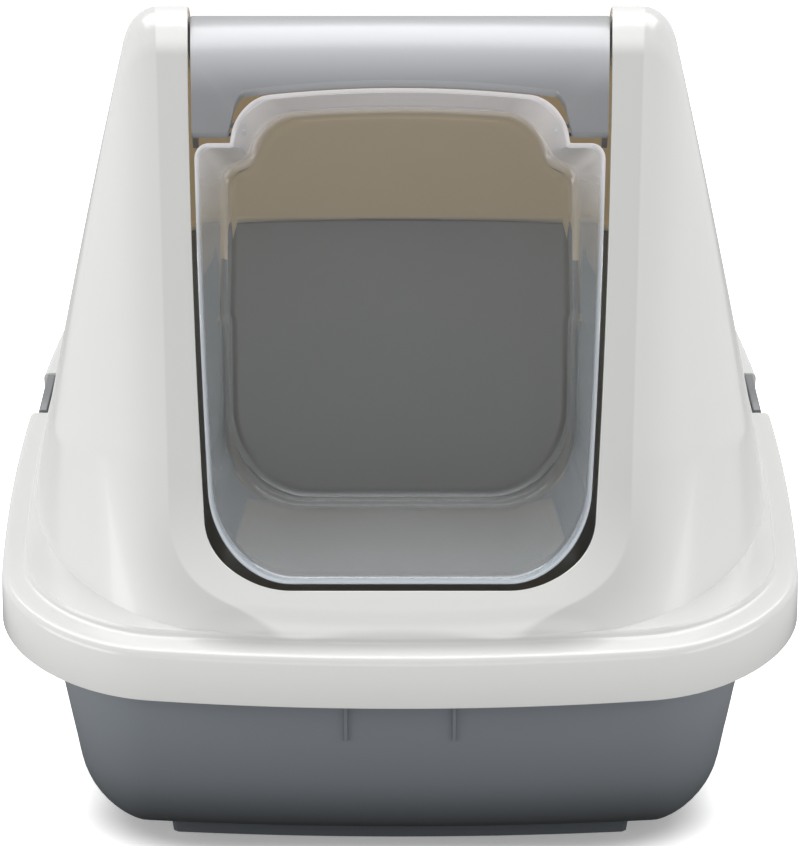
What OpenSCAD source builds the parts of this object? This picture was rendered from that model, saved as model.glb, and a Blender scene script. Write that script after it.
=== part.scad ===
// Hooded litter box with a sloping front entrance. A deep pan carries a lift-off
// hood. A curved top cover is hinged behind the ridge of the hood and carries the
// see-through swing flap, so both fold up together for scooping. Two side clips
// on the pan snap over the ledge of the hood. Millimetres, +Z up, front at -Y.

/* [Overall size] */
// Length of the box, front to back
box_length = 560; // [545:5:590]
// Width of the box across the rim of the hood
box_width = 390; // [382:2:404]
// Height of the box to the top of the hood shoulders
box_height = 382; // [378:1:388]

/* [Rim] */
// Height of the rim ledge at the front of the box
rim_front_z = 112; // [108:1:116]
// Rise of the rim towards the back, in degrees
rim_slope = 12.9; // [12:0.1:13.5]
// Height of the upright band round the rim of the hood
band_h = 23; // [20:1:26]
// Corner radius of the rim, seen from above
rim_corner_r = 66; // [60:1:72]
// Radius of the gentle bow along each side
side_bow_r = 1600; // [1300:50:2200]
// Radius of the gentle bow across the front and the back
end_bow_r = 900; // [800:50:1400]
// Place along the box where it is widest
widest_y = -60; // [-75:5:-40]

/* [Hood] */
// Thickness of the hood
hood_wall = 3; // [2.6:0.1:3.4]
// Width of the ledge between the rim and the side of the hood
ledge_side = 11.5; // [11:0.5:13]
// Width of the ledge at the front and the back
ledge_end = 17; // [15:1:20]
// Inward lean of the sides of the hood, in degrees
side_lean = 11.7; // [11:0.1:12.5]
// Slope of the front of the hood from level, in degrees
front_slope = 46.1; // [45.5:0.1:46.6]
// Slope of the back of the hood from level, in degrees
back_slope = 31; // [30:0.5:32]
// Radius of the ridge along the shoulders
ridge_r = 28; // [26:1:30]
// Radius where a side of the hood runs into its top
shoulder_r = 14; // [12:1:18]
// Radius of the corners of the hood wall above the ledge
wall_corner_r = 60; // [54:1:64]

/* [Entrance] */
// Distance from the side of the rim to the entrance, at the sill
sill_side = 107.5; // [104:0.5:112]
// Distance from the side of the rim to the entrance, at the ridge
shoulder_side = 85; // [84:0.5:88]
// Outward bow of each side of the entrance
entrance_bow = 2.4; // [1:0.2:4]
// Depth of the sill behind the front of the rim
sill_setback = 29.5; // [28:0.5:32]
// Radius of the two corners at the sill
sill_corner_r = 38; // [32:1:44]
// Depth of the opening in the roof behind the ridge
roof_opening_y = 62; // [60:1:66]

/* [Top cover] */
// Thickness of the top cover
cover_wall = 2.6; // [2.2:0.1:3]
// Radius of the top of the cover
cover_r = 57; // [50:1:62]
// Gap between the cover and the hood
cover_gap = 1.3; // [1:0.1:1.6]
// Depth of the lower ends of the cover below the top of the shoulders
cover_end_drop = 57.8; // [56:0.2:60]
// Width of each lower end of the cover, beside the arch
cover_end_w = 18.3; // [17:0.1:22]
// Depth of the top of the arch below the top of the shoulders
arch_drop = 32.8; // [30:0.2:36]
// Radius of the corners of the arch
arch_r = 16; // [12:1:20]
// Diameter of the hinge pins of the cover
cover_pin_d = 6; // [5:0.5:7]
// Number of vent slots through the back of the cover
vent_count = 9; // [7:1:11]
// Width of one vent slot
vent_w = 4; // [3:0.5:5]

/* [Flap] */
// Thickness of the see-through flap
flap_wall = 1.8; // [1.6:0.1:2.2]
// Gap between the flap and the sides of the entrance
flap_gap = 2.4; // [2:0.1:3]
// Gap between the flap and the sill
flap_sill_gap = 3.2; // [2.6:0.1:4]
// Gap between the flap and the edge of the cover
flap_top_gap = 3.6; // [3:0.1:4.2]
// Distance from the side of the rim to the inner panel of the flap
panel_side = 107; // [105:0.5:111]
// Width of the sloping border at the top of the flap
flap_border = 11; // [9:1:13]
// Width of the sloping border below each notch of the flap
notch_border = 13.4; // [12.6:0.2:15]
// Rise of the bottom shelf of the flap from its lip to the panel
shelf_rise = 10; // [6:1:14]
// Set-back of the panel behind the front slope near its top
panel_depth_top = 18; // [15:1:20]
// Lean of the panel from upright, in degrees
panel_lean = 24.7; // [22:0.5:28]
// Diameter of the pins of the flap
flap_pin_d = 4; // [3.5:0.5:5]
// Depth of the flap pins behind the front slope
flap_pin_depth = 6.5; // [6.2:0.1:7]

/* [Pan] */
// Thickness of the pan
pan_wall = 2.8; // [2.4:0.1:3.2]
// Inset of the pan wall behind the rim, at the bottom of the band
pan_inset = 23; // [21:1:25]
// Draft of the pan wall, in degrees
pan_draft = 11.9; // [10:0.5:13]
// Radius between the wall and the bottom of the pan
pan_bottom_r = 34; // [28:1:38]
// Height of the foot ring under the pan
foot_h = 9; // [7:1:11]
// Width of the foot ring
foot_w = 10; // [8:1:14]
// Spacing of the two upright ribs on the front of the pan
rib_spacing = 50; // [40:2:70]
// Length of each rib below the band
rib_h = 24; // [18:1:30]

/* [Side clips] */
// Length of each clip along the rim
clip_length = 46; // [40:1:56]
// Thickness of each clip
clip_t = 2.6; // [2.2:0.1:3]
// Width of the top of each clip, with the nose that snaps over the hood
clip_top_w = 4.4; // [4:0.1:4.8]
// Distance from the widest place of the rim to the outer face of a clip
clip_inset = 4.8; // [4.4:0.1:5.4]
// Place of the clips along the box
clip_y = 5; // [-10:1:15]
// Diameter of the pins of the clips
clip_pin_d = 4; // [3.5:0.5:4.5]

/* [Filter] */
// Width of the carbon filter
filter_w = 120; // [100:2:140]
// Length of the carbon filter down the back of the cover
filter_l = 26; // [22:1:28]
// Thickness of the carbon filter
filter_t = 6; // [4:0.5:7]

/* [Fits] */
// Clearance between a pin and its bore, on the radius
pin_clear = 0.08; // [0.05:0.01:0.1]
// Clearance where the hood rests on the pan
seat_clear = 0.3; // [0.2:0.05:0.4]

/* [Hidden] */
$fn = 48;
half_w = box_width / 2;
half_l = box_length / 2;
round_steps = 164;
pan_steps = 96;
flap_steps = 112;
solve_steps = 26;
ledge_t = hood_wall;
ridge_lift = 3;
rim_edge_r = 3;
ledge_fillet = 2.5;
wall_edge_r = 5;
ridge_centre_z = box_height - ridge_r + ridge_lift;
ray_centre = [0, 10, rim_front_z + 38];
entrance_centre_y = -94;
entrance_rear_r = 3;
hood_flange_t = 3;
hood_flange_depth = 24;
cheek_t = 2.8;
cheek_depth = 11;
hinge_boss_r = 8;
flange_outer = hood_wall + 0.8;
flange_top = -ledge_t - seat_clear;
flange_t = 3;
flange_lip_h = 8;
flange_lip_t = 2.5;
lug_t = 4;
clip_run_gap = 1.2;
clip_pin_z = -14;
clip_knuckle_r = 3.4;
clip_outer_x = half_w - clip_inset;
clip_pin_x = clip_outer_x - 4.6;
clip_stand = 0.4;
nose_gap = 0.3;
keeper_top = -hood_wall + 0.4;
keeper_h = 3.4;
keeper_bite = 1.2;
slot_x = clip_outer_x - clip_top_w - 0.6;
slot_half = clip_length / 2 + 2.6;
tray_wall = 2;
tray_edge = 5;
filter_clear = 0.4;

// Signed distances are below zero inside a shape and above zero outside it.
// rounded() joins several of them and rounds the edge between them.
function rounded(dists, r) =
    min(-r, max(dists)) + norm([for (d = dists) max(r + d, 0)]);
function mix(a, b, t) = a + (b - a) * t;
function clamp01(t) = min(1, max(0, t));
function solve(f, lo, hi, n) =
    n == 0 ? (lo + hi) / 2
    : let (m = (lo + hi) / 2) f(m) > 0 ? solve(f, lo, m, n - 1) : solve(f, m, hi, n - 1);

// The rim is a rounded oblong seen from above, on a plane that rises to the back.
function rim_z(y) = rim_front_z + tan(rim_slope) * (y + half_l);
function side_dist(x, y, w) = norm([abs(x) + side_bow_r - w, y - widest_y]) - side_bow_r;
function front_dist(x, y, l) = norm([x, y + l - end_bow_r]) - end_bow_r;
function rear_dist(x, y, l) = norm([x, y - l + end_bow_r]) - end_bow_r;
function plan_dist(x, y, inset) =
    rounded([side_dist(x, y, half_w - inset), front_dist(x, y, half_l - inset),
             rear_dist(x, y, half_l - inset)], max(rim_corner_r - 0.6 * inset, 12));
function rim_point(a, inset, dz) =
    let (r = solve(function (r) plan_dist(r * cos(a), r * sin(a), inset), 0, box_length, solve_steps),
         y = r * sin(a))
    [r * cos(a), y, rim_z(y) + dz];

// The upper hood: two slopes that meet in a round ridge, and two leaning sides.
function front_face(y, z) = -y * sin(front_slope) + (z - ridge_centre_z) * cos(front_slope) - ridge_r;
function back_face(y, z) = y * sin(back_slope) + (z - ridge_centre_z) * cos(back_slope) - ridge_r;
function front_y(z) = ((z - ridge_centre_z) * cos(front_slope) - ridge_r) / sin(front_slope);
function front_z(y) = ridge_centre_z + (ridge_r + y * sin(front_slope)) / cos(front_slope);
function back_z(y) = ridge_centre_z + (ridge_r - y * sin(back_slope)) / cos(back_slope);
function shoulder_round(z) =
    let (below = box_height - z)
    shoulder_r + 0.255 * max(below, 0) + 0.45 * max(below - 195, 0);
function wall_dist(x, y) =
    rounded([side_dist(x, y, half_w - ledge_side), front_dist(x, y, half_l - ledge_end),
             rear_dist(x, y, half_l - ledge_end)], wall_corner_r);
function hood_dist(x, y, z) =
    let (lean_w = half_w - ledge_side - tan(side_lean) * max(z - rim_z(y), 0),
         side = side_dist(x, y, lean_w) * cos(side_lean),
         ridge = rounded([front_face(y, z), back_face(y, z)], ridge_r),
         upper = rounded([side, ridge], shoulder_round(z)))
    rounded([upper, wall_dist(x, y)], wall_edge_r);

// The entrance is one opening from the sill, up the front and over the ridge.
sill_y = -half_l + sill_setback;
slope_run = -sill_y / cos(front_slope);
function entrance_half_w(y) =
    let (t = clamp01((y - sill_y) / cos(front_slope) / slope_run))
    half_w - mix(sill_side, shoulder_side, t) + entrance_bow * 4 * t * (1 - t);
function entrance_dist(x, y) =
    rounded([rounded([abs(x) - entrance_half_w(y), (sill_y - y) / cos(front_slope)],
                     sill_corner_r), y - roof_opening_y], entrance_rear_r);

// One ring of points for each level from the edge of the entrance to the ledge.
function entrance_point(a, depth) =
    let (r = solve(function (r) entrance_dist(r * cos(a), entrance_centre_y + r * sin(a)),
                   0, box_length, solve_steps),
         x = r * cos(a), y = entrance_centre_y + r * sin(a),
         z = solve(function (z) hood_dist(x, y, z) + depth, foot_h, 2 * box_height, solve_steps))
    [x, y, z];
function wall_point(a, offset, dz) =
    let (r = solve(function (r) wall_dist(r * cos(a), r * sin(a)) - offset, 0, box_length, solve_steps),
         y = r * sin(a))
    [r * cos(a), y, rim_z(y) + dz];
function skin_point(a, level, depth) =
    let (start = entrance_point(a, 0), finish = wall_point(a, 0, ledge_fillet),
         way = mix(start, finish, level) - ray_centre,
         k = solve(function (k) let (p = ray_centre + k * way)
                   hood_dist(p.x, p.y, p.z) + depth, 0.3, 3, solve_steps))
    ray_centre + k * way;
skin_levels = [0.09, 0.18, 0.28, 0.38, 0.5, 0.62, 0.74, 0.85, 0.94];
function ring(steps, f) = [for (i = [0 : steps - 1]) f(360 * i / steps - 90)];

// Triangles between neighbouring rings, and a fan that closes each end of a tube.
function ring_faces(steps, a, b) =
    [for (i = [0 : steps - 1]) let (j = (i + 1) % steps)
        each [[a * steps + i, a * steps + j, b * steps + j],
              [a * steps + i, b * steps + j, b * steps + i]]];
function loop_faces(steps, rings) =
    [for (r = [0 : rings - 1]) each ring_faces(steps, r, (r + 1) % rings)];
function tube_faces(steps, rings) =
    [for (r = [0 : rings - 2]) each ring_faces(steps, r, r + 1)];
module ring_tube(steps, rings, start_mid, end_mid) {
    last = (len(rings) - 1) * steps;
    mid = last + steps;
    polyhedron(points = concat([for (r = rings) each r], [start_mid, end_mid]),
               faces = concat(tube_faces(steps, len(rings)),
                              [for (i = [0 : steps - 1]) [(i + 1) % steps, i, mid]],
                              [for (i = [0 : steps - 1]) [last + i, last + (i + 1) % steps, mid + 1]]),
               convexity = 8);
}

// Draws a side-view outline, given as [y, z], across the box from x0 to x1.
module across(x0, x1) {
    translate([x0, 0, 0])
        rotate([90, 0, 90])
            linear_extrude(height = x1 - x0)
                children();
}
// Copies a right-hand feature to the left-hand side as well.
module both_sides() {
    children();
    mirror([1, 0, 0])
        children();
}
module x_pin(x0, x1, at, d) {
    translate([x0, at[0], at[1]])
        rotate([0, 90, 0])
            cylinder(d = d, h = x1 - x0);
}
// Frame of a clip: x across the box, y along the rising rim, z square to the ledge.
module clip_frame() {
    translate([0, clip_y, rim_z(clip_y)])
        rotate([rim_slope, 0, 0])
            children();
}

// Side view of the cover, as a line that runs depth below its outer face. The
// front ends lean back, so the flap clears them when it swings.
cover_end_lean = 1.5;
cover_axis = [-sin((front_slope - back_slope) / 2), cos((front_slope - back_slope) / 2)];
cover_drop = (cover_r - ridge_r) / cos((front_slope + back_slope) / 2);
cover_centre = [0, ridge_centre_z] - cover_drop * cover_axis;
function cover_line(front_yz, rear_yz, depth) =
    concat([front_yz + depth * [sin(front_slope), -cos(front_slope)]
            + max(0, 1 - depth / cover_wall) * cover_end_lean * [cos(front_slope), sin(front_slope)]],
           [for (i = [0 : 16]) let (a = mix(90 + front_slope, 90 - back_slope, i / 16))
               cover_centre + (cover_r - depth) * [cos(a), sin(a)]],
           [rear_yz - depth * [sin(back_slope), cos(back_slope)]]);
cover_rear_y = roof_opening_y - cover_gap - 0.4;
cover_end_z = box_height - cover_end_drop;
arch_top_z = box_height - arch_drop;
cover_front_end = [front_y(cover_end_z), cover_end_z];
arch_w = 2 * (entrance_half_w(cover_front_end[0]) - cover_end_w);
cover_rear_end = [cover_rear_y, back_z(cover_rear_y)];
function reversed(list) = [for (i = [len(list) - 1 : -1 : 0]) list[i]];
module cover_band(from_depth, to_depth) {
    polygon(concat(cover_line(cover_front_end, cover_rear_end, from_depth),
                   reversed(cover_line(cover_front_end, cover_rear_end, to_depth))));
}

// Axis of the flap behind the lower ends of the cover, and axis of the cover.
flap_pin_z = cover_end_z + 5.8;
flap_axis = [front_y(flap_pin_z), flap_pin_z] + flap_pin_depth * [sin(front_slope), -cos(front_slope)];
cover_axis_y = roof_opening_y - 8;
cover_axis_depth = 6.5;
hinge_axis = [cover_axis_y, back_z(cover_axis_y)]
             - cover_axis_depth * [sin(back_slope), cos(back_slope)];
cheek_outer_x = entrance_half_w(cover_front_end[0]) - cover_gap - 0.2;
cheek_inner_x = cheek_outer_x - cheek_t;
flange_inner_x = half_w - shoulder_side;

module hood_shell() {
    rings = concat(
        [ring(round_steps, function (a) entrance_point(a, 0))],
        [for (level = skin_levels) ring(round_steps, function (a) skin_point(a, level, 0))],
        [ring(round_steps, function (a) wall_point(a, 0, ledge_fillet)),
         ring(round_steps, function (a) wall_point(a, ledge_fillet, 0)),
         ring(round_steps, function (a) rim_point(a, rim_edge_r, 0)),
         ring(round_steps, function (a) rim_point(a, 0.3 * rim_edge_r, -0.3 * rim_edge_r)),
         ring(round_steps, function (a) rim_point(a, 0, -rim_edge_r)),
         ring(round_steps, function (a) rim_point(a, 0, -band_h)),
         ring(round_steps, function (a) rim_point(a, hood_wall, -band_h)),
         ring(round_steps, function (a) rim_point(a, hood_wall, -ledge_t)),
         ring(round_steps, function (a) wall_point(a, -hood_wall, -ledge_t))],
        [for (level = reversed(skin_levels))
            ring(round_steps, function (a) skin_point(a, level, hood_wall))],
        [ring(round_steps, function (a) entrance_point(a, hood_wall))]);
    polyhedron(points = [for (r = rings) each r], faces = loop_faces(round_steps, len(rings)),
               convexity = 10);
}
// Upright flange inside each shoulder, with the bore for the pin of the cover.
module hood_flange() {
    across(flange_inner_x, flange_inner_x + hood_flange_t)
        difference() {
            union() {
                polygon([[-26, front_z(-26) - 3], [-12, box_height - 5], [6, box_height - 3.4],
                         [22, back_z(22) - 2.6], [68, back_z(68) - 2.2], [68, back_z(68) - 12],
                         [hinge_axis[0], hinge_axis[1] - hinge_boss_r],
                         [0, ridge_centre_z], [-20, front_z(-20) - hood_flange_depth]]);
                translate(hinge_axis)
                    circle(r = hinge_boss_r);
            }
            translate(hinge_axis)
                circle(d = cover_pin_d + 2 * pin_clear);
        }
}
// The keeper under the edge of each slot, which the nose of a clip holds down.
module clip_keeper() {
    keeper_half = clip_length / 2 + clip_run_gap / 2;
    keeper_x = clip_outer_x - clip_top_w + keeper_bite;
    clip_frame()
        both_sides()
            translate([slot_x - 3, -keeper_half, keeper_top - keeper_h])
                cube([keeper_x - slot_x + 3, 2 * keeper_half, keeper_h]);
}
module hood() {
    color("white") {
        difference() {
            hood_shell();
            clip_frame()
                both_sides()
                    translate([slot_x, -slot_half, -band_h - 8])
                        cube([30, 2 * slot_half, band_h + 14]);
        }
        clip_keeper();
        both_sides()
            hood_flange();
    }
}

// The pan wall, from the foot ring up to the flange that the hood rests on.
function bottom_curl(dz, r) = dz >= r ? 0 : r - sqrt(max(0, r * r - (r - dz) * (r - dz)));
function pan_inset_at(y, z, thick) =
    pan_inset + tan(pan_draft) * (rim_z(y) - band_h - z) + thick
    + bottom_curl(z - foot_h - thick, pan_bottom_r - thick);
function pan_point(a, z_of, thick) =
    let (r = solve(function (r) let (y = r * sin(a))
                   plan_dist(r * cos(a), y, 0) + pan_inset_at(y, z_of(y), thick),
                   0, box_length, solve_steps),
         y = r * sin(a))
    [r * cos(a), y, z_of(y)];
function foot_point(a, inset, z) =
    let (p = pan_point(a, function (y) foot_h, 0), r = norm([p.x, p.y]))
    [p.x * (1 - inset / r), p.y * (1 - inset / r), z];
curl_angles = [24, 46, 68, 90];
wall_levels = [0.35, 0.7, 1];
module pan_shell() {
    curl_r = pan_bottom_r;
    top_of = function (y) rim_z(y) + flange_top - flange_t;
    inner_floor = foot_h + pan_wall;
    rings = concat(
        [ring(pan_steps, function (a) foot_point(a, foot_w + 4, foot_h)),
         ring(pan_steps, function (a) foot_point(a, foot_w + 3, 0)),
         ring(pan_steps, function (a) foot_point(a, 3, 0)),
         ring(pan_steps, function (a) foot_point(a, 1, foot_h))],
        [for (b = curl_angles) ring(pan_steps, function (a)
            pan_point(a, function (y) foot_h + curl_r * (1 - cos(b)), 0))],
        [for (t = wall_levels) ring(pan_steps, function (a)
            pan_point(a, function (y) mix(foot_h + curl_r, top_of(y), t), 0))],
        [ring(pan_steps, function (a) rim_point(a, flange_outer + flange_lip_t, flange_top - flange_t)),
         ring(pan_steps, function (a)
            rim_point(a, flange_outer + flange_lip_t, flange_top - flange_lip_h)),
         ring(pan_steps, function (a) rim_point(a, flange_outer, flange_top - flange_lip_h)),
         ring(pan_steps, function (a) rim_point(a, flange_outer, flange_top)),
         ring(pan_steps, function (a) pan_point(a, function (y) rim_z(y) + flange_top, pan_wall))],
        [for (t = [0.7, 0.35]) ring(pan_steps, function (a)
            pan_point(a, function (y) mix(foot_h + curl_r, top_of(y), t), pan_wall))],
        [for (b = reversed(curl_angles)) ring(pan_steps, function (a)
            pan_point(a, function (y) inner_floor + (curl_r - pan_wall) * (1 - cos(b)), pan_wall))],
        [ring(pan_steps, function (a) pan_point(a, function (y) inner_floor, pan_wall))]);
    ring_tube(pan_steps, reversed(rings), [0, 0, inner_floor], [0, 0, foot_h]);
}
// A slim stiffening rib that runs out down the front of the pan.
module pan_rib(x) {
    rib_w = 1.6;
    top_z = rim_z(-half_l) + flange_top - flange_t - 0.5;
    low_z = rim_front_z - band_h - rib_h;
    top_y = -half_l + pan_inset_at(-half_l, top_z, 0);
    low_y = -half_l + pan_inset_at(-half_l, low_z, 0);
    across(x - rib_w / 2, x + rib_w / 2)
        polygon([[top_y - 2, top_z], [top_y + 1.5, top_z], [low_y + 1.5, low_z],
                 [low_y + 0.4, low_z], [low_y - 1.2, low_z + 6]]);
}
// Ribs under the flange at both ends of a clip, with the bores for its pins.
module clip_lugs() {
    for (end = [-1, 1])
        translate([0, end * (clip_length / 2 + clip_run_gap + lug_t / 2) + lug_t / 2, 0])
            rotate([90, 0, 0])
                linear_extrude(height = lug_t)
                    difference() {
                        union() {
                            polygon([[half_w - 22, flange_top - 1], [clip_pin_x, flange_top - 1],
                                     [clip_pin_x + clip_knuckle_r, clip_pin_z],
                                     [clip_pin_x, clip_pin_z - clip_knuckle_r], [half_w - 20, clip_pin_z]]);
                            translate([clip_pin_x, clip_pin_z])
                                circle(r = clip_knuckle_r);
                        }
                        translate([clip_pin_x, clip_pin_z])
                            circle(d = clip_pin_d + 2 * pin_clear);
                    }
}
module pan() {
    color("slategray") {
        difference() {
            pan_shell();
            clip_frame()
                both_sides()
                    translate([slot_x - 3.8, -clip_length / 2 - clip_run_gap - lug_t / 2, -band_h - 5])
                        cube([30, clip_length + 2 * clip_run_gap + lug_t, band_h + 11]);
        }
        for (side = [-1, 1])
            pan_rib(side * rib_spacing / 2);
        clip_frame()
            both_sides()
                clip_lugs();
    }
}

// A lever that turns on the pan and snaps its nose over the keeper of the hood.
module clip_arm() {
    arm_x = clip_outer_x - clip_t;
    nose_x = clip_outer_x - clip_top_w;
    nose_z = keeper_top + nose_gap;
    knuckle_x = clip_pin_x - clip_knuckle_r;
    rotate([90, 0, 0])
        translate([0, 0, -clip_length / 2])
            linear_extrude(height = clip_length)
                union() {
                    polygon([[clip_outer_x - 0.6, clip_stand], [nose_x + 0.6, clip_stand],
                             [nose_x, clip_stand - 0.6], [nose_x, nose_z], [arm_x, nose_z],
                             [arm_x, clip_pin_z + 5.5], [knuckle_x + 1, clip_pin_z + 2.6],
                             [clip_pin_x, clip_pin_z], [clip_pin_x + clip_knuckle_r, clip_pin_z],
                             [clip_outer_x, clip_pin_z + 3], [clip_outer_x, clip_stand - 0.6]]);
                    translate([clip_pin_x, clip_pin_z])
                        circle(r = clip_knuckle_r);
                }
    pin_reach = clip_length / 2 + clip_run_gap + lug_t - 0.4;
    translate([clip_pin_x, pin_reach, clip_pin_z])
        rotate([90, 0, 0])
            cylinder(d = clip_pin_d, h = 2 * pin_reach);
}
module clip_right() {
    color("darkgray")
        clip_frame()
            clip_arm();
}
module clip_left() {
    color("darkgray")
        clip_frame()
            mirror([1, 0, 0])
                clip_arm();
}

// Plan of the cover: it keeps its gap to the entrance, and an arch is cut out of it.
module cover_plan() {
    front = cover_front_end[0] - 1;
    corner_r = entrance_rear_r - 0.5;
    corner_y = cover_rear_y - corner_r;
    corner_x = entrance_half_w(corner_y) - cover_gap - corner_r;
    right = concat([for (i = [0 : 6]) let (y = mix(front, corner_y, i / 6))
                       [entrance_half_w(y) - cover_gap, y]],
                   [for (i = [1 : 8]) let (a = 90 * i / 8)
                       [corner_x + corner_r * cos(a), corner_y + corner_r * sin(a)]]);
    polygon(concat(right, [for (q = reversed(right)) [-q.x, q.y]]));
}
arch_top_y = front_y(arch_top_z);
arch_foot_flare = 3;
arch_flare_h = 22;
arch_foot_out = 5;
arch_crown_r = 700;
module arch_plan() {
    low = cover_front_end[0] - 20;
    corner_y = arch_top_y - arch_r * 0.95;
    intersection() {
        union() {
            polygon([[-arch_w / 2 - arch_foot_out, low], [arch_w / 2 + arch_foot_out, low],
                     [arch_w / 2 - arch_foot_flare, corner_y], [-arch_w / 2 + arch_foot_flare, corner_y]]);
            both_halves_2d()
                translate([arch_w / 2 - arch_foot_flare - arch_r, corner_y - 1])
                    circle(r = arch_r);
            translate([-arch_w / 2 + arch_foot_flare + arch_r, low])
                square([arch_w - 2 * arch_foot_flare - 2 * arch_r, arch_top_y - low]);
        }
        translate([0, arch_top_y - arch_crown_r])
            circle(r = arch_crown_r, $fn = 360);
    }
}
module both_halves_2d() {
    children();
    mirror([1, 0])
        children();
}
module cover_cheek() {
    across(cheek_inner_x, cheek_outer_x)
        difference() {
            union() {
                cover_band(cover_wall / 2, cheek_depth);
                translate(flap_axis)
                    circle(r = flap_pin_depth - 0.6);
                translate(hinge_axis)
                    circle(r = cover_axis_depth - 0.6);
            }
            translate(flap_axis)
                circle(d = flap_pin_d + 2 * pin_clear);
        }
}
// Frame on the back slope of the cover: y runs down the slope, z points out of it.
vent_centre_y = 36;
module back_slope_frame() {
    translate([0, vent_centre_y, back_z(vent_centre_y)])
        rotate([-back_slope, 0, 0])
            children();
}
module top_cover() {
    vent_pitch = (filter_w - 12) / vent_count;
    color("lightslategray") {
        difference() {
            intersection() {
                across(-half_w, half_w)
                    cover_band(0, cover_wall);
                linear_extrude(height = 2 * box_height)
                    cover_plan();
            }
            linear_extrude(height = 2 * box_height)
                arch_plan();
            back_slope_frame()
                for (i = [0 : vent_count - 1])
                    translate([(i - (vent_count - 1) / 2) * vent_pitch - vent_w / 2,
                               -filter_l / 2 + 3, -12])
                        cube([vent_w, filter_l - 6, 20]);
        }
        both_sides() {
            cover_cheek();
            x_pin(cheek_outer_x - 0.5, flange_inner_x + hood_flange_t - 0.3, hinge_axis, cover_pin_d);
        }
    }
}
// Slotted tray that snaps under the back of the cover and holds the filter.
tray_top = -cover_wall - 2.6;
tray_floor = tray_top - filter_t - 2 * filter_clear - tray_wall;
module filter_tray() {
    outer_w = filter_w + 2 * tray_edge;
    outer_l = filter_l + 2 * tray_edge - 4;
    color("lightslategray")
        back_slope_frame()
            difference() {
                translate([-outer_w / 2, -outer_l / 2, tray_floor])
                    cube([outer_w, outer_l, tray_top - tray_floor]);
                translate([-filter_w / 2 - filter_clear, -filter_l / 2 - filter_clear,
                           tray_floor + tray_wall])
                    cube([filter_w + 2 * filter_clear, filter_l + 2 * filter_clear, 30]);
                for (i = [0 : vent_count - 1])
                    translate([(i - (vent_count - 1) / 2) * (filter_w - 12) / vent_count - 3,
                               -filter_l / 2 + 4, tray_floor - 1])
                        cube([6, filter_l - 8, tray_wall + 2]);
            }
}
module carbon_filter() {
    color("dimgray")
        back_slope_frame()
            translate([-filter_w / 2, -filter_l / 2, tray_floor + tray_wall + 0.02])
                cube([filter_w, filter_l, filter_t]);
}

// Outlines of the flap in the front view, as signed distances in x and z.
flap_top_z = cover_end_z - flap_top_gap;
flap_low_z = front_z(sill_y) + flap_sill_gap * sin(front_slope);
arch_apex_z = arch_top_z - flap_top_gap;
flap_mid_z = box_height - 142;
function flap_arch_dist(x, z, inset) =
    max(rounded([abs(x) - arch_w / 2 + flap_gap + arch_foot_flare * (z - flap_top_z) / arch_flare_h + inset,
                 z - arch_apex_z + x * x / (2 * arch_crown_r) + inset], arch_r + 0.3 * inset), flap_mid_z - z);
function lip_dist(x, z, inset) =
    let (skirt = rounded([abs(x) - entrance_half_w(front_y(z)) + flap_gap + inset,
                          flap_low_z - z + inset], sill_corner_r - flap_gap))
    min(rounded([skirt, z - flap_top_z + inset], 7), flap_arch_dist(x, z, inset));
function panel_dist(x, z, inset) =
    let (low = flap_low_z + shelf_rise,
         skirt = rounded([abs(x) - half_w + panel_side - 0.02 * (z - flap_mid_z) + inset, low - z + inset], 40))
    min(rounded([skirt, z - flap_top_z + notch_border + inset], 9),
        flap_arch_dist(x, z, flap_border + inset));
panel_top_z = arch_apex_z - flap_border;
function panel_y(z) = front_y(panel_top_z) + panel_depth_top + (z - panel_top_z) * tan(panel_lean);
function polar_xz(a, f) =
    let (r = solve(function (r) f(r * cos(a), flap_mid_z + r * sin(a)), 0, box_length, solve_steps))
    [r * cos(a), flap_mid_z + r * sin(a)];
function lip_point(a, inset) = let (q = polar_xz(a, function (x, z) lip_dist(x, z, inset)))
    [q.x, front_y(q.y), q.y];
function panel_point(a, inset, back) = let (q = polar_xz(a, function (x, z) panel_dist(x, z, inset)))
    [q.x, panel_y(q.y) + back, q.y];
module flap_shell() {
    crease = 5;
    near = 0.9;
    rings = [
        ring(flap_steps, function (a) panel_point(a, crease, 0)),
        ring(flap_steps, function (a) mix(lip_point(a, flap_wall), panel_point(a, 0, 0), near)),
        ring(flap_steps, function (a) mix(lip_point(a, flap_wall), panel_point(a, 0, 0), 0.45)),
        ring(flap_steps, function (a) lip_point(a, flap_wall)),
        ring(flap_steps, function (a) lip_point(a, 0)),
        ring(flap_steps, function (a)
            mix(lip_point(a, 0), panel_point(a, -flap_wall, flap_wall), 0.45)),
        ring(flap_steps, function (a)
            mix(lip_point(a, 0), panel_point(a, -flap_wall, flap_wall), near)),
        ring(flap_steps, function (a) panel_point(a, crease - flap_wall / 2, flap_wall))];
    mid_y = panel_y(flap_mid_z);
    ring_tube(flap_steps, rings, [0, mid_y, flap_mid_z], [0, mid_y + flap_wall, flap_mid_z]);
}
// A boss on each side of the arch, with the pin that the flap swings on.
boss_r = flap_pin_depth - cover_wall - 0.7;
boss_x = arch_w / 2 - 10;
boss_end_x = cheek_inner_x - 3.5;
module flap_boss() {
    x_pin(boss_x, boss_end_x, flap_axis, 2 * boss_r);
    x_pin(boss_end_x - 0.5, cheek_outer_x - 0.4, flap_axis, flap_pin_d);
}
module flap() {
    color([0.55, 0.62, 0.68, 0.45]) {
        flap_shell();
        both_sides()
            flap_boss();
    }
}

pan();
hood();
top_cover();
filter_tray();
carbon_filter();
flap();
clip_left();
clip_right();
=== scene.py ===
"""Looks of a hooded litter box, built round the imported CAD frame. Lengths are in millimetres until a mesh is made."""

import logging
import math
from dataclasses import dataclass, field
from enum import Enum
from functools import partial
from typing import Callable, Sequence

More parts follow.
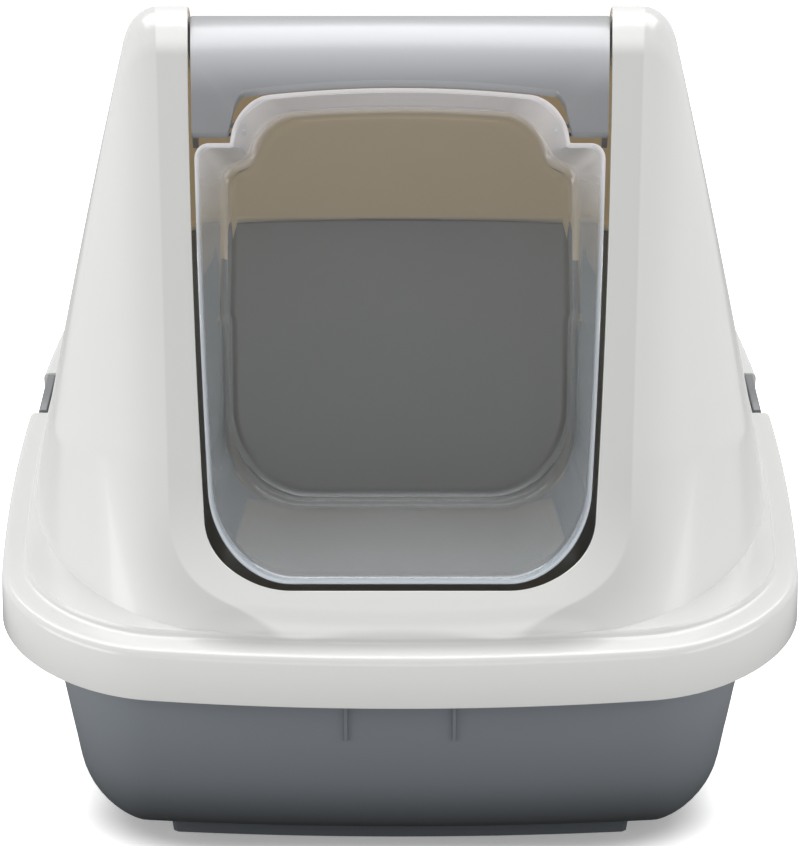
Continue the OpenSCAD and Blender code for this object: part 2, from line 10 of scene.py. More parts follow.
import bmesh
import bpy
import numpy as np
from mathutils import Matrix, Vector


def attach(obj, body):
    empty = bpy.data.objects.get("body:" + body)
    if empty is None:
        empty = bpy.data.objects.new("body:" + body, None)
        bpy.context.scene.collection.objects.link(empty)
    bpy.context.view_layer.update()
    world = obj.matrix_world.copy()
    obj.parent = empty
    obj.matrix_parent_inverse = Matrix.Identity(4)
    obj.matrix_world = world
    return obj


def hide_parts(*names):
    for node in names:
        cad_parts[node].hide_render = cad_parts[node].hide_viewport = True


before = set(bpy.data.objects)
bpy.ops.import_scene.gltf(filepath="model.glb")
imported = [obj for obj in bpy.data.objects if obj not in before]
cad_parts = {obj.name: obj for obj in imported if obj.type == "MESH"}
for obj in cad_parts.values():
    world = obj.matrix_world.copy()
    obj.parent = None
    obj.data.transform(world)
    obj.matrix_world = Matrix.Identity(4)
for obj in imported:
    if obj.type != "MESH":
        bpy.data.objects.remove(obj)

LOG = logging.getLogger("litter_box")
MM = 0.001
Array = np.ndarray
RING_STEPS = 480
OUTLINE_SPAN = (20.0, 500.0)
SOFT_EDGE = 32.0
HINGE_DEPTH = 6.5


class Body(Enum):
    """Bodies of the frame that pieces ride on."""

    PAN = "pan"
    HOOD = "hood"
    COVER = "cover"
    FLAP = "flap"
    CLIP_LEFT = "clip_left"
    CLIP_RIGHT = "clip_right"


class Side(Enum):
    """Left and right of the box, as a factor on x."""

    LEFT = -1
    RIGHT = 1


def rounded(dists: Sequence[Array], radius: Array | float) -> Array:
    """Joins signed distances into one shape with a rounded edge.

    Args:
        dists: Signed distances, below zero inside.
        radius: Radius of the edge, one number or one for each point.

    Returns:
        The signed distance of the joined shape.
    """
    stack = np.stack(np.broadcast_arrays(*dists))
    return np.minimum(-radius, stack.max(0)) + np.sqrt((np.maximum(radius + stack, 0) ** 2).sum(0))


def solve(dist: Callable[[Array], Array], low: Array, high: Array, steps: int = 42) -> Array:
    """Finds where a distance turns from below zero to above zero.

    Args:
        dist: Distance for an array of parameters.
        low: Parameters inside the shape.
        high: Parameters outside the shape.
        steps: How often the span is halved.

    Returns:
        The parameters on the surface.
    """
    low, high = low.astype(float).copy(), high.astype(float).copy()
    for _ in range(steps):
        mid = (low + high) / 2
        outside = dist(mid) > 0
        high = np.where(outside, mid, high)
        low = np.where(outside, low, mid)
    return (low + high) / 2


def trace(dist: Callable[[Array, Array], Array], low: float, high: float, centre: float = 0.0) -> tuple[Array, Array]:
    """Finds an outline round a centre as RING_STEPS points, counter-clockwise from the front.

    Args:
        dist: Signed distance of the outline for two coordinates.
        low: Radius that is inside at every angle.
        high: Radius that is outside at every angle.
        centre: Second coordinate of the centre.

    Returns:
        Both coordinates of the points.
    """
    turn = np.radians(np.arange(RING_STEPS) * 360.0 / RING_STEPS - 90.0)
    cx, cy = np.cos(turn), np.sin(turn)
    r = solve(lambda r: dist(r * cx, centre + r * cy), np.full(RING_STEPS, low), np.full(RING_STEPS, high))
    return r * cx, centre + r * cy


def disc(y: float, z: float, radius: float, step: int) -> list[tuple[float, float]]:
    """Outline of a round pin, with one point every step degrees."""
    return [(y + radius * math.cos(t), z + radius * math.sin(t)) for t in np.radians(np.arange(0, 360, step))]


@dataclass(frozen=True)
class BoxForm:
    """Sizes of the box and the surfaces that its pieces share."""

    half_l: float = 280.0
    half_w: float = 195.0
    height: float = 382.0
    rim_front_z: float = 112.0
    rim_slope: float = 12.9
    band_h: float = 23.0
    corner_r: float = 66.0
    side_bow_r: float = 1600.0
    end_bow_r: float = 900.0
    widest_y: float = -60.0
    wall: float = 3.0
    ledge_side: float = 11.5
    ledge_end: float = 17.0
    side_lean: float = 11.7
    front_slope: float = 46.1
    back_slope: float = 31.0
    ridge_r: float = 28.0
    ridge_lift: float = 3.0
    shoulder_r: float = 14.0
    shoulder_growth: float = 0.255
    low_shoulder_from: float = 195.0
    low_shoulder_growth: float = 0.45
    foot_blend_r: float = 5.0
    wall_corner_r: float = 60.0
    sill_setback: float = 29.5
    roof_opening_y: float = 62.0
    entrance_centre_y: float = -94.0
    entrance_low_w: float = 175.0
    entrance_widening: float = 45.0
    entrance_bow: float = 2.4
    entrance_corner_r: float = 38.0

    def rim_z(self, y: Array | float) -> Array | float:
        """Height of the rim ledge at a place along the box."""
        return self.rim_front_z + math.tan(math.radians(self.rim_slope)) * (y + self.half_l)

    def side_dist(self, x: Array, y: Array, w: Array | float) -> Array:
        """Signed distance to the bowed sides at half width w."""
        return np.hypot(np.abs(x) + self.side_bow_r - w, y - self.widest_y) - self.side_bow_r

    def front_dist(self, x: Array, y: Array, reach: float | Array) -> Array:
        """Signed distance to the bowed front at the given reach."""
        return np.hypot(x, y + reach - self.end_bow_r) - self.end_bow_r

    def rear_dist(self, x: Array, y: Array, reach: float | Array) -> Array:
        """Signed distance to the bowed back at the given reach."""
        return np.hypot(x, y - reach + self.end_bow_r) - self.end_bow_r

    def plan_dist(self, x: Array, y: Array, inset: float | Array = 0.0) -> Array:
        """Signed distance to the rim outline, seen from above."""
        return rounded(
            [
                self.side_dist(x, y, self.half_w - inset),
                self.front_dist(x, y, self.half_l - inset),
                self.rear_dist(x, y, self.half_l - inset),
            ],
            np.maximum(self.corner_r - 0.6 * inset, 12.0),
        )

    def wall_dist(self, x: Array, y: Array) -> Array:
        """Signed distance to the outline where the hood meets its ledge."""
        return rounded(
            [
                self.side_dist(x, y, self.half_w - self.ledge_side),
                self.front_dist(x, y, self.half_l - self.ledge_end),
                self.rear_dist(x, y, self.half_l - self.ledge_end),
            ],
            self.wall_corner_r,
        )

    @property
    def ridge_z(self) -> float:
        """Height of the centre of the ridge rounding."""
        return self.height - self.ridge_r + self.ridge_lift

    def front_face(self, y: Array, z: Array) -> Array:
        """Signed distance to the plane of the front slope."""
        a = math.radians(self.front_slope)
        return -y * math.sin(a) + (z - self.ridge_z) * math.cos(a) - self.ridge_r

    def back_face(self, y: Array, z: Array) -> Array:
        """Signed distance to the plane of the back slope."""
        a = math.radians(self.back_slope)
        return y * math.sin(a) + (z - self.ridge_z) * math.cos(a) - self.ridge_r

    def front_y(self, z: Array | float) -> Array | float:
        """Place of the front slope at a height."""
        a = math.radians(self.front_slope)
        return ((z - self.ridge_z) * math.cos(a) - self.ridge_r) / math.sin(a)

    def front_z(self, y: Array | float) -> Array | float:
        """Height of the front slope at a place."""
        a = math.radians(self.front_slope)
        return self.ridge_z + (self.ridge_r + y * math.sin(a)) / math.cos(a)

    def back_z(self, y: Array | float) -> Array | float:
        """Height of the back slope at a place."""
        a = math.radians(self.back_slope)
        return self.ridge_z + (self.ridge_r - y * math.sin(a)) / math.cos(a)

    def hood_dist(self, p: Array) -> Array:
        """Signed distance to the skin of the hood for an array of points."""
        x, y, z = p[..., 0], p[..., 1], p[..., 2]
        tilt = math.radians(self.side_lean)
        lean_w = self.half_w - self.ledge_side - math.tan(tilt) * np.maximum(z - self.rim_z(y), 0)
        below = self.height - z
        blend = (self.shoulder_r + self.shoulder_growth * np.maximum(below, 0)
                 + self.low_shoulder_growth * np.maximum(below - self.low_shoulder_from, 0))
        side = self.side_dist(x, y, lean_w) * math.cos(tilt)
        ridge = rounded([self.front_face(y, z), self.back_face(y, z)], self.ridge_r)
        upper = rounded([side, ridge], blend)
        return rounded([upper, self.wall_dist(x, y)], self.foot_blend_r)

    @property
    def sill_y(self) -> float:
        """Place of the sill of the entrance."""
        return self.sill_setback - self.half_l

    def entrance_half_w(self, y: Array) -> Array:
        """Half width of the entrance at a place along the slope."""
        t = np.clip((y - self.sill_y) / -self.sill_y, 0, 1)
        return (self.entrance_low_w + self.entrance_widening * t) / 2 + self.entrance_bow * 4 * t * (1 - t)

    def entrance_dist(self, x: Array, y: Array) -> Array:
        """Signed distance to the outline of the entrance, seen from above."""
        slope = math.cos(math.radians(self.front_slope))
        sides = rounded([np.abs(x) - self.entrance_half_w(y), (self.sill_y - y) / slope], self.entrance_corner_r)
        return rounded([sides, y - self.roof_opening_y], 3.0)

    def rim_ring(self, inset: float, dz: float) -> Array:
        """Ring along the rim, moved in and up or down."""
        x, y = trace(lambda x, y: self.plan_dist(x, y, inset), *OUTLINE_SPAN)
        return np.stack([x, y, self.rim_z(y) + dz], -1)


FORM = BoxForm()


class MeshMaker:
    """Turns rings and outlines into clean meshes."""

    @staticmethod
    def finish(name: str, verts: Array, faces: list[tuple[int, ...]], sharp: float = SOFT_EDGE) -> bpy.types.Object:
        """Makes an object from vertices in millimetres.

        Args:
            name: Name of the piece.
            verts: Points, one row each.
            faces: Vertex numbers of each face, turned outwards.
            sharp: Angle above which an edge stays sharp, in degrees.

        Returns:
            The new object, linked to the scene.
        """
        mesh = bpy.data.meshes.new(name)
        mesh.from_pydata((np.asarray(verts) * MM).tolist(), [], faces)
        mesh.validate()
        MeshMaker.smooth(mesh, sharp)
        obj = bpy.data.objects.new(name, mesh)
        bpy.context.scene.collection.objects.link(obj)
        return obj

    @staticmethod
    def smooth(mesh: bpy.types.Mesh, sharp: float = SOFT_EDGE) -> None:
        """Shades a mesh smoothly, except over edges sharper than an angle in degrees."""
        mesh.polygons.foreach_set("use_smooth", [True] * len(mesh.polygons))
        mesh.set_sharp_from_angle(angle=math.radians(sharp))

    @classmethod
    def rings(cls, name: str, rings: Sequence[Array], closed: bool, sharp: float = SOFT_EDGE) -> bpy.types.Object:
        """Skins a row of rings, turned counter-clockwise as seen from outside the first ones.

        Args:
            name: Name of the piece.
            rings: Points of each ring, all of one length.
            closed: Whether the last ring joins the first one, or both are capped.
            sharp: Angle above which an edge stays sharp, in degrees.

        Returns:
            The new object.
        """
        steps, count = len(rings[0]), len(rings)
        verts = [np.asarray(r) for r in rings]
        faces: list[tuple[int, ...]] = []
        for r in range(count if closed else count - 1):
            a, b = r * steps, ((r + 1) % count) * steps
            for i in range(steps):
                j = (i + 1) % steps
                faces.append((a + i, b + i, b + j, a + j))
        if not closed:
            mid = count * steps
            last = (count - 1) * steps
            verts += [np.mean(rings[0], axis=0)[None], np.mean(rings[-1], axis=0)[None]]
            faces += [(i, (i + 1) % steps, mid) for i in range(steps)]
            faces += [(last + (i + 1) % steps, last + i, mid + 1) for i in range(steps)]
        return cls.finish(name, np.concatenate(verts), faces, sharp)

    @staticmethod
    def mask(obj: bpy.types.Object, name: str, values: Array) -> None:
        """Stores one value for each vertex under a name that a material reads."""
        made = obj.data.attributes.new(name, "FLOAT", "POINT")
        made.data.foreach_set("value", np.asarray(values, np.float32))

    @classmethod
    def prism(cls, name: str, outline: Sequence[tuple[float, float]], depth: float, place: Callable[[Array], Array],
              bevel: float = 0.0) -> bpy.types.Object:
        """Extrudes an outline and rounds its edges.

        Args:
            name: Name of the piece.
            outline: Points of the outline, counter-clockwise.
            depth: Length of the extrusion.
            place: Moves points (u, v, w) to their place in the box.
            bevel: Radius of the edges.

        Returns:
            The new object.
        """
        n = len(outline)
        flat = np.array(outline, float)
        low = np.column_stack([flat, np.zeros(n)])
        high = np.column_stack([flat, np.full(n, depth)])
        faces: list[tuple[int, ...]] = [tuple(range(n - 1, -1, -1)), tuple(range(n, 2 * n))]
        faces += [(i, (i + 1) % n, n + (i + 1) % n, n + i) for i in range(n)]
        obj = cls.finish(name, place(np.concatenate([low, high])), faces)
        cls.outwards(obj)
        if bevel > 0:
            cls.bevel(obj, bevel)
        return obj

    @staticmethod
    def outwards(obj: bpy.types.Object) -> None:
        """Turns all faces of a closed mesh outwards."""
        work = bmesh.new()
        work.from_mesh(obj.data)
        bmesh.ops.remove_doubles(work, verts=work.verts, dist=1e-6)
        bmesh.ops.recalc_face_normals(work, faces=work.faces)
        work.to_mesh(obj.data)
        work.free()

    @classmethod
    def bevel(cls, obj: bpy.types.Object, radius: float, segments: int = 3) -> None:
        """Rounds the sharp edges of a piece and bakes the result into its mesh."""
        mod = obj.modifiers.new("round", "BEVEL")
        mod.width = radius * MM
        mod.segments = segments
        mod.limit_method = "ANGLE"
        mod.angle_limit = math.radians(28)
        mod.harden_normals = False
        cls.bake(obj)
        cls.smooth(obj.data)

    @classmethod
    def rounded_copy(cls, name: str, node: str, radius: float) -> bpy.types.Object:
        """Copies the mesh of a CAD node and rounds its edges.

        Args:
            name: Name of the new piece.
            node: The CAD node.
            radius: Radius of the edges in millimetres.

        Returns:
            The new piece.
        """
        work = bmesh.new()
        work.from_mesh(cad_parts[node].data)
        bmesh.ops.remove_doubles(work, verts=work.verts, dist=1e-6)
        bmesh.ops.dissolve_limit(work, angle_limit=math.radians(0.6), verts=work.verts, edges=work.edges)
        mesh = bpy.data.meshes.new(name)
        work.to_mesh(mesh)
        work.free()
        obj = bpy.data.objects.new(name, mesh)
        bpy.context.scene.collection.objects.link(obj)
        cls.bevel(obj, radius, 2)
        return obj

    @staticmethod
    def bake(obj: bpy.types.Object) -> None:
        """Replaces a piece's mesh by its evaluated one and drops its modifiers."""
        graph = bpy.context.evaluated_depsgraph_get()
        graph.update()
        made = bpy.data.meshes.new_from_object(obj.evaluated_get(graph), depsgraph=graph)
        obj.modifiers.clear()
        old, obj.data = obj.data, made
        made.name = obj.name
        bpy.data.meshes.remove(old)

    @classmethod
    def cut(cls, obj: bpy.types.Object, tools: Sequence[bpy.types.Object]) -> None:
        """Takes the shapes of closed tools out of a piece and removes the tools."""
        for tool in tools:
            mod = obj.modifiers.new("cut", "BOOLEAN")
            mod.operation = "DIFFERENCE"
            mod.solver = "EXACT"
            mod.object = tool
        cls.bake(obj)
        for tool in tools:
            bpy.data.objects.remove(tool, do_unlink=True)
        cls.smooth(obj.data, 30.0)


def new_socket(tree: bpy.types.NodeTree, name: str, into: bool, kind: str, value: float | None = None) -> None:
    """Adds one named input or output to a node group."""
    made = tree.interface.new_socket(name, in_out="INPUT" if into else "OUTPUT", socket_type=kind)
    if value is not None:
        made.default_value = value


def look_material(slot: str) -> tuple[bpy.types.Material, bool]:
    """Finds or makes the detailed material of a slot.

    Args:
        slot: Name of the material slot.

    Returns:
        The material, and whether it is new and still plain.
    """
    name = f"{slot}_look"
    if name in bpy.data.materials:
        return bpy.data.materials[name], False
    mat = bpy.data.materials.new(name)
    mat.use_nodes = True
    return mat, True


def feed(tree: bpy.types.NodeTree, socket: bpy.types.NodeSocket, value: object) -> None:
    """Links an input to another socket, or sets it to a number, colour or node group."""
    if isinstance(value, bpy.types.NodeSocket):
        tree.links.new(value, socket)
    else:
        socket.default_value = value


def math_node(tree: bpy.types.NodeTree, kind: str, *values: object) -> bpy.types.NodeSocket:
    """Adds a math node whose inputs are sockets or numbers, and returns its result."""
    node = tree.nodes.new("ShaderNodeMath")
    node.operation = kind
    for socket, value in zip(node.inputs, values):
        feed(tree, socket, value)
    return node.outputs[0]


def ramp(tree: bpy.types.NodeTree, value: bpy.types.NodeSocket, span: tuple[float, float],
         levels: tuple[float, float] = (0.0, 1.0), smooth: bool = True) -> bpy.types.NodeSocket:
    """Adds a ramp from one level to another over a span of values.

    Args:
        tree: Tree that gets the node.
        value: What is measured.
        span: Values where the ramp begins and ends.
        levels: Results there.
        smooth: Whether the ramp starts and ends softly.

    Returns:
        The result of the ramp.
    """
    node = tree.nodes.new("ShaderNodeMapRange")
    if smooth:
        node.interpolation_type = "SMOOTHSTEP"
    node.inputs["From Min"].default_value, node.inputs["From Max"].default_value = span
    node.inputs["To Min"].default_value, node.inputs["To Max"].default_value = levels
    tree.links.new(value, node.inputs["Value"])
    return node.outputs["Result"]


def mix_node(tree: bpy.types.NodeTree, kind: str, factor: object, a: object, b: object) -> bpy.types.NodeSocket:
    """Adds a mix of two numbers (FLOAT) or colours (RGBA), each a socket or a value, and returns its result."""
    node = tree.nodes.new("ShaderNodeMix")
    node.data_type = kind
    for name, value in (("Factor", factor), ("A", a), ("B", b)):
        feed(tree, node.inputs[name], value)
    return node.outputs["Result"]


def scale_node(tree: bpy.types.NodeTree, colour: object, factor: bpy.types.NodeSocket) -> bpy.types.NodeSocket:
    """Adds a node that multiplies a colour by a factor, and returns the colour."""
    node = tree.nodes.new("ShaderNodeVectorMath")
    node.operation = "SCALE"
    feed(tree, node.inputs[0], colour)
    feed(tree, node.inputs["Scale"], factor)
    return node.outputs["Vector"]


def object_place(tree: bpy.types.NodeTree) -> bpy.types.NodeSocket:
    """Adds a node that gives the place on the object, in metres."""
    return tree.nodes.new("ShaderNodeTexCoord").outputs["Object"]


def axes(tree: bpy.types.NodeTree, place: bpy.types.NodeSocket) -> bpy.types.NodeOutputs:
    """Splits a place into the sockets X, Y and Z."""
    split = tree.nodes.new("ShaderNodeSeparateXYZ")
    tree.links.new(place, split.inputs[0])
    return split.outputs


def mask_node(tree: bpy.types.NodeTree, name: str) -> bpy.types.NodeSocket:
    """Adds a node that reads a mask of the mesh."""
    node = tree.nodes.new("ShaderNodeAttribute")
    node.attribute_name = name
    return node.outputs["Fac"]


def group_node(tree: bpy.types.NodeTree, group: bpy.types.NodeTree, values: dict[str, object]) -> bpy.types.NodeOutputs:
    """Adds a node group with sockets or values for its inputs, and returns its outputs."""
    node = tree.nodes.new("ShaderNodeGroup")
    node.node_tree = group
    for name, value in values.items():
        feed(tree, node.inputs[name], value)
    return node.outputs


class MouldGrain:
    """Shader node group for the faint texture and tone drift of moulded plastic."""

    NAME = "mould_grain"

    @classmethod
    def tree(cls) -> bpy.types.NodeTree:
        """Builds the group once and returns it."""
        if cls.NAME in bpy.data.node_groups:
            return bpy.data.node_groups[cls.NAME]
        tree = bpy.data.node_groups.new(cls.NAME, "ShaderNodeTree")
        new_socket(tree, "Vector", True, "NodeSocketVector")
        new_socket(tree, "Color", True, "NodeSocketColor")
        new_socket(tree, "Grain Size", True, "NodeSocketFloat", 900.0)
        new_socket(tree, "Roughness", True, "NodeSocketFloat", 0.3)
        new_socket(tree, "Drift", True, "NodeSocketFloat", 0.03)
        new_socket(tree, "Color", False, "NodeSocketColor")
        new_socket(tree, "Roughness", False, "NodeSocketFloat")
        new_socket(tree, "Height", False, "NodeSocketFloat")
        nodes, links = tree.nodes, tree.links
        source, sink = nodes.new("NodeGroupInput"), nodes.new("NodeGroupOutput")
        grain, drift = nodes.new("ShaderNodeTexNoise"), nodes.new("ShaderNodeTexNoise")
        grain.inputs["Detail"].default_value = 3.0
        drift.inputs["Scale"].default_value = 9.0
        drift.inputs["Detail"].default_value = 2.0
        links.new(source.outputs["Vector"], grain.inputs["Vector"])
        links.new(source.outputs["Grain Size"], grain.inputs["Scale"])
        links.new(source.outputs["Vector"], drift.inputs["Vector"])
        centred = math_node(tree, "SUBTRACT", drift.outputs["Fac"], 0.5)
        spread = math_node(tree, "MULTIPLY_ADD", centred, source.outputs["Drift"], 1.0)
        links.new(scale_node(tree, source.outputs["Color"], spread), sink.inputs["Color"])
        links.new(math_node(tree, "MULTIPLY", source.outputs["Roughness"], spread), sink.inputs["Roughness"])
        links.new(grain.outputs["Fac"], sink.inputs["Height"])
        return tree

    @classmethod
    def dress(cls, tree: bpy.types.NodeTree, values: dict[str, object], strength: float, depth: float) -> None:
        """Gives the main shader of a material its colour, roughness and bump.

        Args:
            tree: Node tree of the material.
            values: Colour, grain size, roughness and drift of the group.
            strength: Strength of the bump.
            depth: Depth of the bump in metres.
        """
        shader = tree.nodes["Principled BSDF"]
        grain = group_node(tree, cls.tree(), {"Vector": object_place(tree), **values})
        bump = tree.nodes.new("ShaderNodeBump")
        bump.inputs["Strength"].default_value = strength
        bump.inputs["Distance"].default_value = depth
        tree.links.new(grain["Height"], bump.inputs["Height"])
        tree.links.new(grain["Color"], shader.inputs["Base Color"])
        tree.links.new(grain["Roughness"], shader.inputs["Roughness"])
        tree.links.new(bump.outputs["Normal"], shader.inputs["Normal"])


class StripPaintedLight:
    """Shader node group for painted light round the entrance of the hood: painted shade on the flat strip and fading
    off beside it, and a painted highlight along the entrance edge and on the strip's crest.
    """

    NAME = "strip_mask"
    REACH = (0.0165, 0.0180)
    RIM = (0.0006, 0.0016)
    CREST = (-0.036, -0.026)
    BACK = (0.030, -0.012)
    FALL = (0.018, 0.042)
    CORNER = 0.045
    RISE = (-0.005, 0.045)
    HIGH_FALL = -0.45

    @classmethod
    def tree(cls) -> bpy.types.NodeTree:
        """Builds the group once and returns it."""
        if cls.NAME in bpy.data.node_groups:
            return bpy.data.node_groups[cls.NAME]
        tree = bpy.data.node_groups.new(cls.NAME, "ShaderNodeTree")
        new_socket(tree, "Vector", True, "NodeSocketVector")
        new_socket(tree, "Mask", False, "NodeSocketFloat")
        new_socket(tree, "Rim", False, "NodeSocketFloat")
        nodes, links = tree.nodes, tree.links
        source, sink = nodes.new("NodeGroupInput"), nodes.new("NodeGroupOutput")

        calc, soft = partial(math_node, tree), partial(ramp, tree)
        place = axes(tree, source.outputs["Vector"])
        x, y = place["X"], place["Y"]
        sill = FORM.sill_y * MM
        part = calc("DIVIDE", calc("SUBTRACT", y, sill), -sill)
        half = calc("MULTIPLY_ADD", part, FORM.entrance_widening / 2 * MM, FORM.entrance_low_w / 2 * MM)
        side = calc("SUBTRACT", calc("ABSOLUTE", x), half)
        low = calc("DIVIDE", calc("SUBTRACT", sill, y), math.cos(math.radians(FORM.front_slope)))
        across = calc("MAXIMUM", calc("ADD", side, cls.CORNER), 0.0)
        down = calc("MAXIMUM", calc("ADD", low, cls.CORNER), 0.0)
        squares = calc("MULTIPLY_ADD", across, across, calc("MULTIPLY", down, down))
        away = calc("SUBTRACT", calc("SQRT", squares), cls.CORNER)
        near = soft(away, cls.REACH, (1.0, 0.0))
        front = soft(y, cls.BACK)
        rise = soft(y, (sill + cls.RISE[0], sill + cls.RISE[1]))
        crest = soft(y, cls.CREST)
        calm = calc("SUBTRACT", 1.0, crest)
        inner = calc("MULTIPLY", calc("MULTIPLY", calc("MULTIPLY", near, front), rise), calm)
        fall = calc("MULTIPLY", soft(away, cls.FALL, (1.0, 0.0)), calc("SUBTRACT", 1.0, near))
        outer = calc("MULTIPLY", fall, calc("MULTIPLY_ADD", rise, cls.HIGH_FALL, 1.0))
        outer = calc("MULTIPLY", calc("MULTIPLY", outer, front), calm)
        # Painted shade: the strip is darker, and beside it the hood is darker towards the crease.
        links.new(calc("ADD", inner, outer), sink.inputs["Mask"])
        # Painted highlight along the entrance edge and on the strip's crest.
        lit = calc("MAXIMUM", soft(away, cls.RIM, (1.0, 0.0), False), calc("MULTIPLY", near, crest))
        links.new(calc("MULTIPLY", lit, front), sink.inputs["Rim"])
        return tree


# Painted shade factor for the strip and its surround, and painted highlight colour for its edge and crest.
STRIP_SHADE = 0.80
STRIP_PAINTED_HIGHLIGHT = (0.97, 0.97, 0.96)


@dataclass(frozen=True)
class Sheen:
    """Painted light: a soft change of tone between two heights, on the part of a piece that lies in front of a place; a
    painted highlight where the factors rise and painted shade where they fall.

    Fields: lower and upper height, factors on the colour there, and the places where the front part begins and ends.
    """

    span: tuple[float, float]
    factors: tuple[float, float]
    front: tuple[float, float] | None = None

    def add(self, tree: bpy.types.NodeTree, place: bpy.types.NodeSocket,
            colour: tuple[float, float, float]) -> bpy.types.NodeSocket:
        """Adds the nodes of the painted highlight and shade to a material.

        Args:
            tree: Node tree of the material.
            place: Object coordinates.
            colour: Colour that the factors work on.

        Returns:
            The changed colour.
        """
        at = axes(tree, place)
        level = ramp(tree, at["Z"], self.span, self.factors)
        if self.front is not None:
            level = mix_node(tree, "FLOAT", ramp(tree, at["Y"], self.front), self.factors[0], level)
        return scale_node(tree, colour, level)


@dataclass(frozen=True)
class PlasticFinish:
    """Moulded opaque plastic.

    Fields: slot name, colour (linear), roughness, coat weight, bump strength, grain scale, tone drift, coat
    roughness, colour of the inner skin (a painted warm shade), a painted glow there in place of the dim light
    inside the hood, and painted light that changes the tone with height.
    """

    name: str
    colour: tuple[float, float, float]
    roughness: float = 0.3
    coat: float = 0.15
    bump: float = 0.03
    grain: float = 900.0
    drift: float = 0.03
    coat_rough: float = 0.08
    inner: tuple[float, float, float] | None = None
    glow: tuple[float, float, float] = (0.0, 0.0, 0.0)
    painted_light: Sheen | None = None

    def tone(self, tree: bpy.types.NodeTree) -> object:
        """Colour of the plastic, as a socket where painted light changes it over the piece: tone by height where the
        piece has a painted tone ramp; on the hood, painted shade on the entrance strip, a painted highlight on its edge
        and crest, and painted shade with a painted glow on the inner skin.
        """
        if self.painted_light is not None:
            return self.painted_light.add(tree, object_place(tree), self.colour)
        if self.inner is None:
            return (*self.colour, 1.0)
        # Painted shade and a painted glow on the inner skin, in place of the dim light inside the hood.
        shader, inside = tree.nodes["Principled BSDF"], mask_node(tree, "inside")
        shader.inputs["Emission Color"].default_value = (*self.glow, 1.0)
        tree.links.new(inside, shader.inputs["Emission Strength"])
        # Painted shade on the strip round the entrance, and a painted highlight on its edge and crest.
        strip = group_node(tree, StripPaintedLight.tree(), {"Vector": object_place(tree)})
        dark = (*(STRIP_SHADE * c for c in self.colour), 1.0)
        shade = mix_node(tree, "RGBA", strip["Mask"], (*self.colour, 1.0), dark)
        bright = mix_node(tree, "RGBA", strip["Rim"], shade, (*STRIP_PAINTED_HIGHLIGHT, 1.0))
        return mix_node(tree, "RGBA", inside, bright, (*self.inner, 1.0))

    def build(self) -> bpy.types.Material:
        """Makes the material once and returns it."""
        mat, new = look_material(self.name)
        if not new:
            return mat
        values = {"Color": self.tone(mat.node_tree), "Grain Size": self.grain, "Roughness": self.roughness,
                  "Drift": self.drift}
        MouldGrain.dress(mat.node_tree, values, self.bump, 0.0004)
        shader = mat.node_tree.nodes["Principled BSDF"]
        shader.inputs["IOR"].default_value = 1.5
        shader.inputs["Coat Weight"].default_value = self.coat
        shader.inputs["Coat Roughness"].default_value = self.coat_rough
        return mat


@dataclass(frozen=True)
class ClearFinish:
    """Clear plastic with a light tint that lets light through to what is behind it, and a painted reflection: a diffuse
    colour, mixed in where a mask of the mesh says, that stands in for reflections and highlights.
    """

    name: str
    tint: tuple[float, float, float]
    shadow: tuple[float, float, float]
    painted_reflection_low: tuple[float, float, float] = (0.68, 0.73, 0.78)
    painted_reflection_high: tuple[float, float, float] = (0.80, 0.77, 0.78)
    painted_reflection_span: tuple[float, float] = (0.25, 0.33)
    roughness: float = 0.03

    def build(self) -> bpy.types.Material:
        """Makes the material once and returns it."""
        mat, new = look_material(self.name)
        if not new:
            return mat
        nodes, links = mat.node_tree.nodes, mat.node_tree.links
        shader, sink = nodes["Principled BSDF"], nodes["Material Output"]
        shader.inputs["Base Color"].default_value = (*self.tint, 1.0)
        shader.inputs["Transmission Weight"].default_value = 1.0
        shader.inputs["Roughness"].default_value = self.roughness
        shader.inputs["IOR"].default_value = 1.49
        see = nodes.new("ShaderNodeBsdfTransparent")
        see.inputs["Color"].default_value = (*self.shadow, 1.0)
        path = nodes.new("ShaderNodeLightPath")
        mix = nodes.new("ShaderNodeMixShader")
        # Painted reflection: a diffuse colour, bluish low and warm high.
        reflection_paint = nodes.new("ShaderNodeBsdfDiffuse")
        level = ramp(mat.node_tree, axes(mat.node_tree, object_place(mat.node_tree))["Z"], self.painted_reflection_span, smooth=False)
        tone = mix_node(mat.node_tree, "RGBA", level, (*self.painted_reflection_low, 1.0), (*self.painted_reflection_high, 1.0))
        links.new(tone, reflection_paint.inputs["Color"])
        reflection_mix = nodes.new("ShaderNodeMixShader")
        links.new(mask_node(mat.node_tree, "haze"), reflection_mix.inputs[0])
        links.new(shader.outputs[0], reflection_mix.inputs[1])
        links.new(reflection_paint.outputs[0], reflection_mix.inputs[2])
        links.new(path.outputs["Is Shadow Ray"], mix.inputs[0])
        links.new(reflection_mix.outputs[0], mix.inputs[1])
        links.new(see.outputs[0], mix.inputs[2])
        links.new(mix.outputs[0], sink.inputs["Surface"])
        return mat


@dataclass(frozen=True)
class FeltFinish:
    """Soft felted pad with loose fibres."""

    name: str
    colour: tuple[float, float, float]

    def build(self) -> bpy.types.Material:
        """Makes the material once and returns it."""
        mat, new = look_material(self.name)
        if not new:
            return mat
        values = {"Color": (*self.colour, 1.0), "Grain Size": 1400.0, "Roughness": 0.95, "Drift": 0.25}
        MouldGrain.dress(mat.node_tree, values, 0.7, 0.0008)
        shader = mat.node_tree.nodes["Principled BSDF"]
        shader.inputs["Sheen Weight"].default_value = 0.4
        return mat


# Painted highlight: the front of the cover is painted lighter towards the ridge.
RIDGE_PAINTED_HIGHLIGHT = Sheen(span=(0.340, 0.368), factors=(0.24, 0.55), front=(0.004, -0.018))
# Painted shade: the pan is painted darker towards the bottom.
PAN_PAINTED_SHADE = Sheen(span=(0.0, 0.08), factors=(0.55, 1.0))
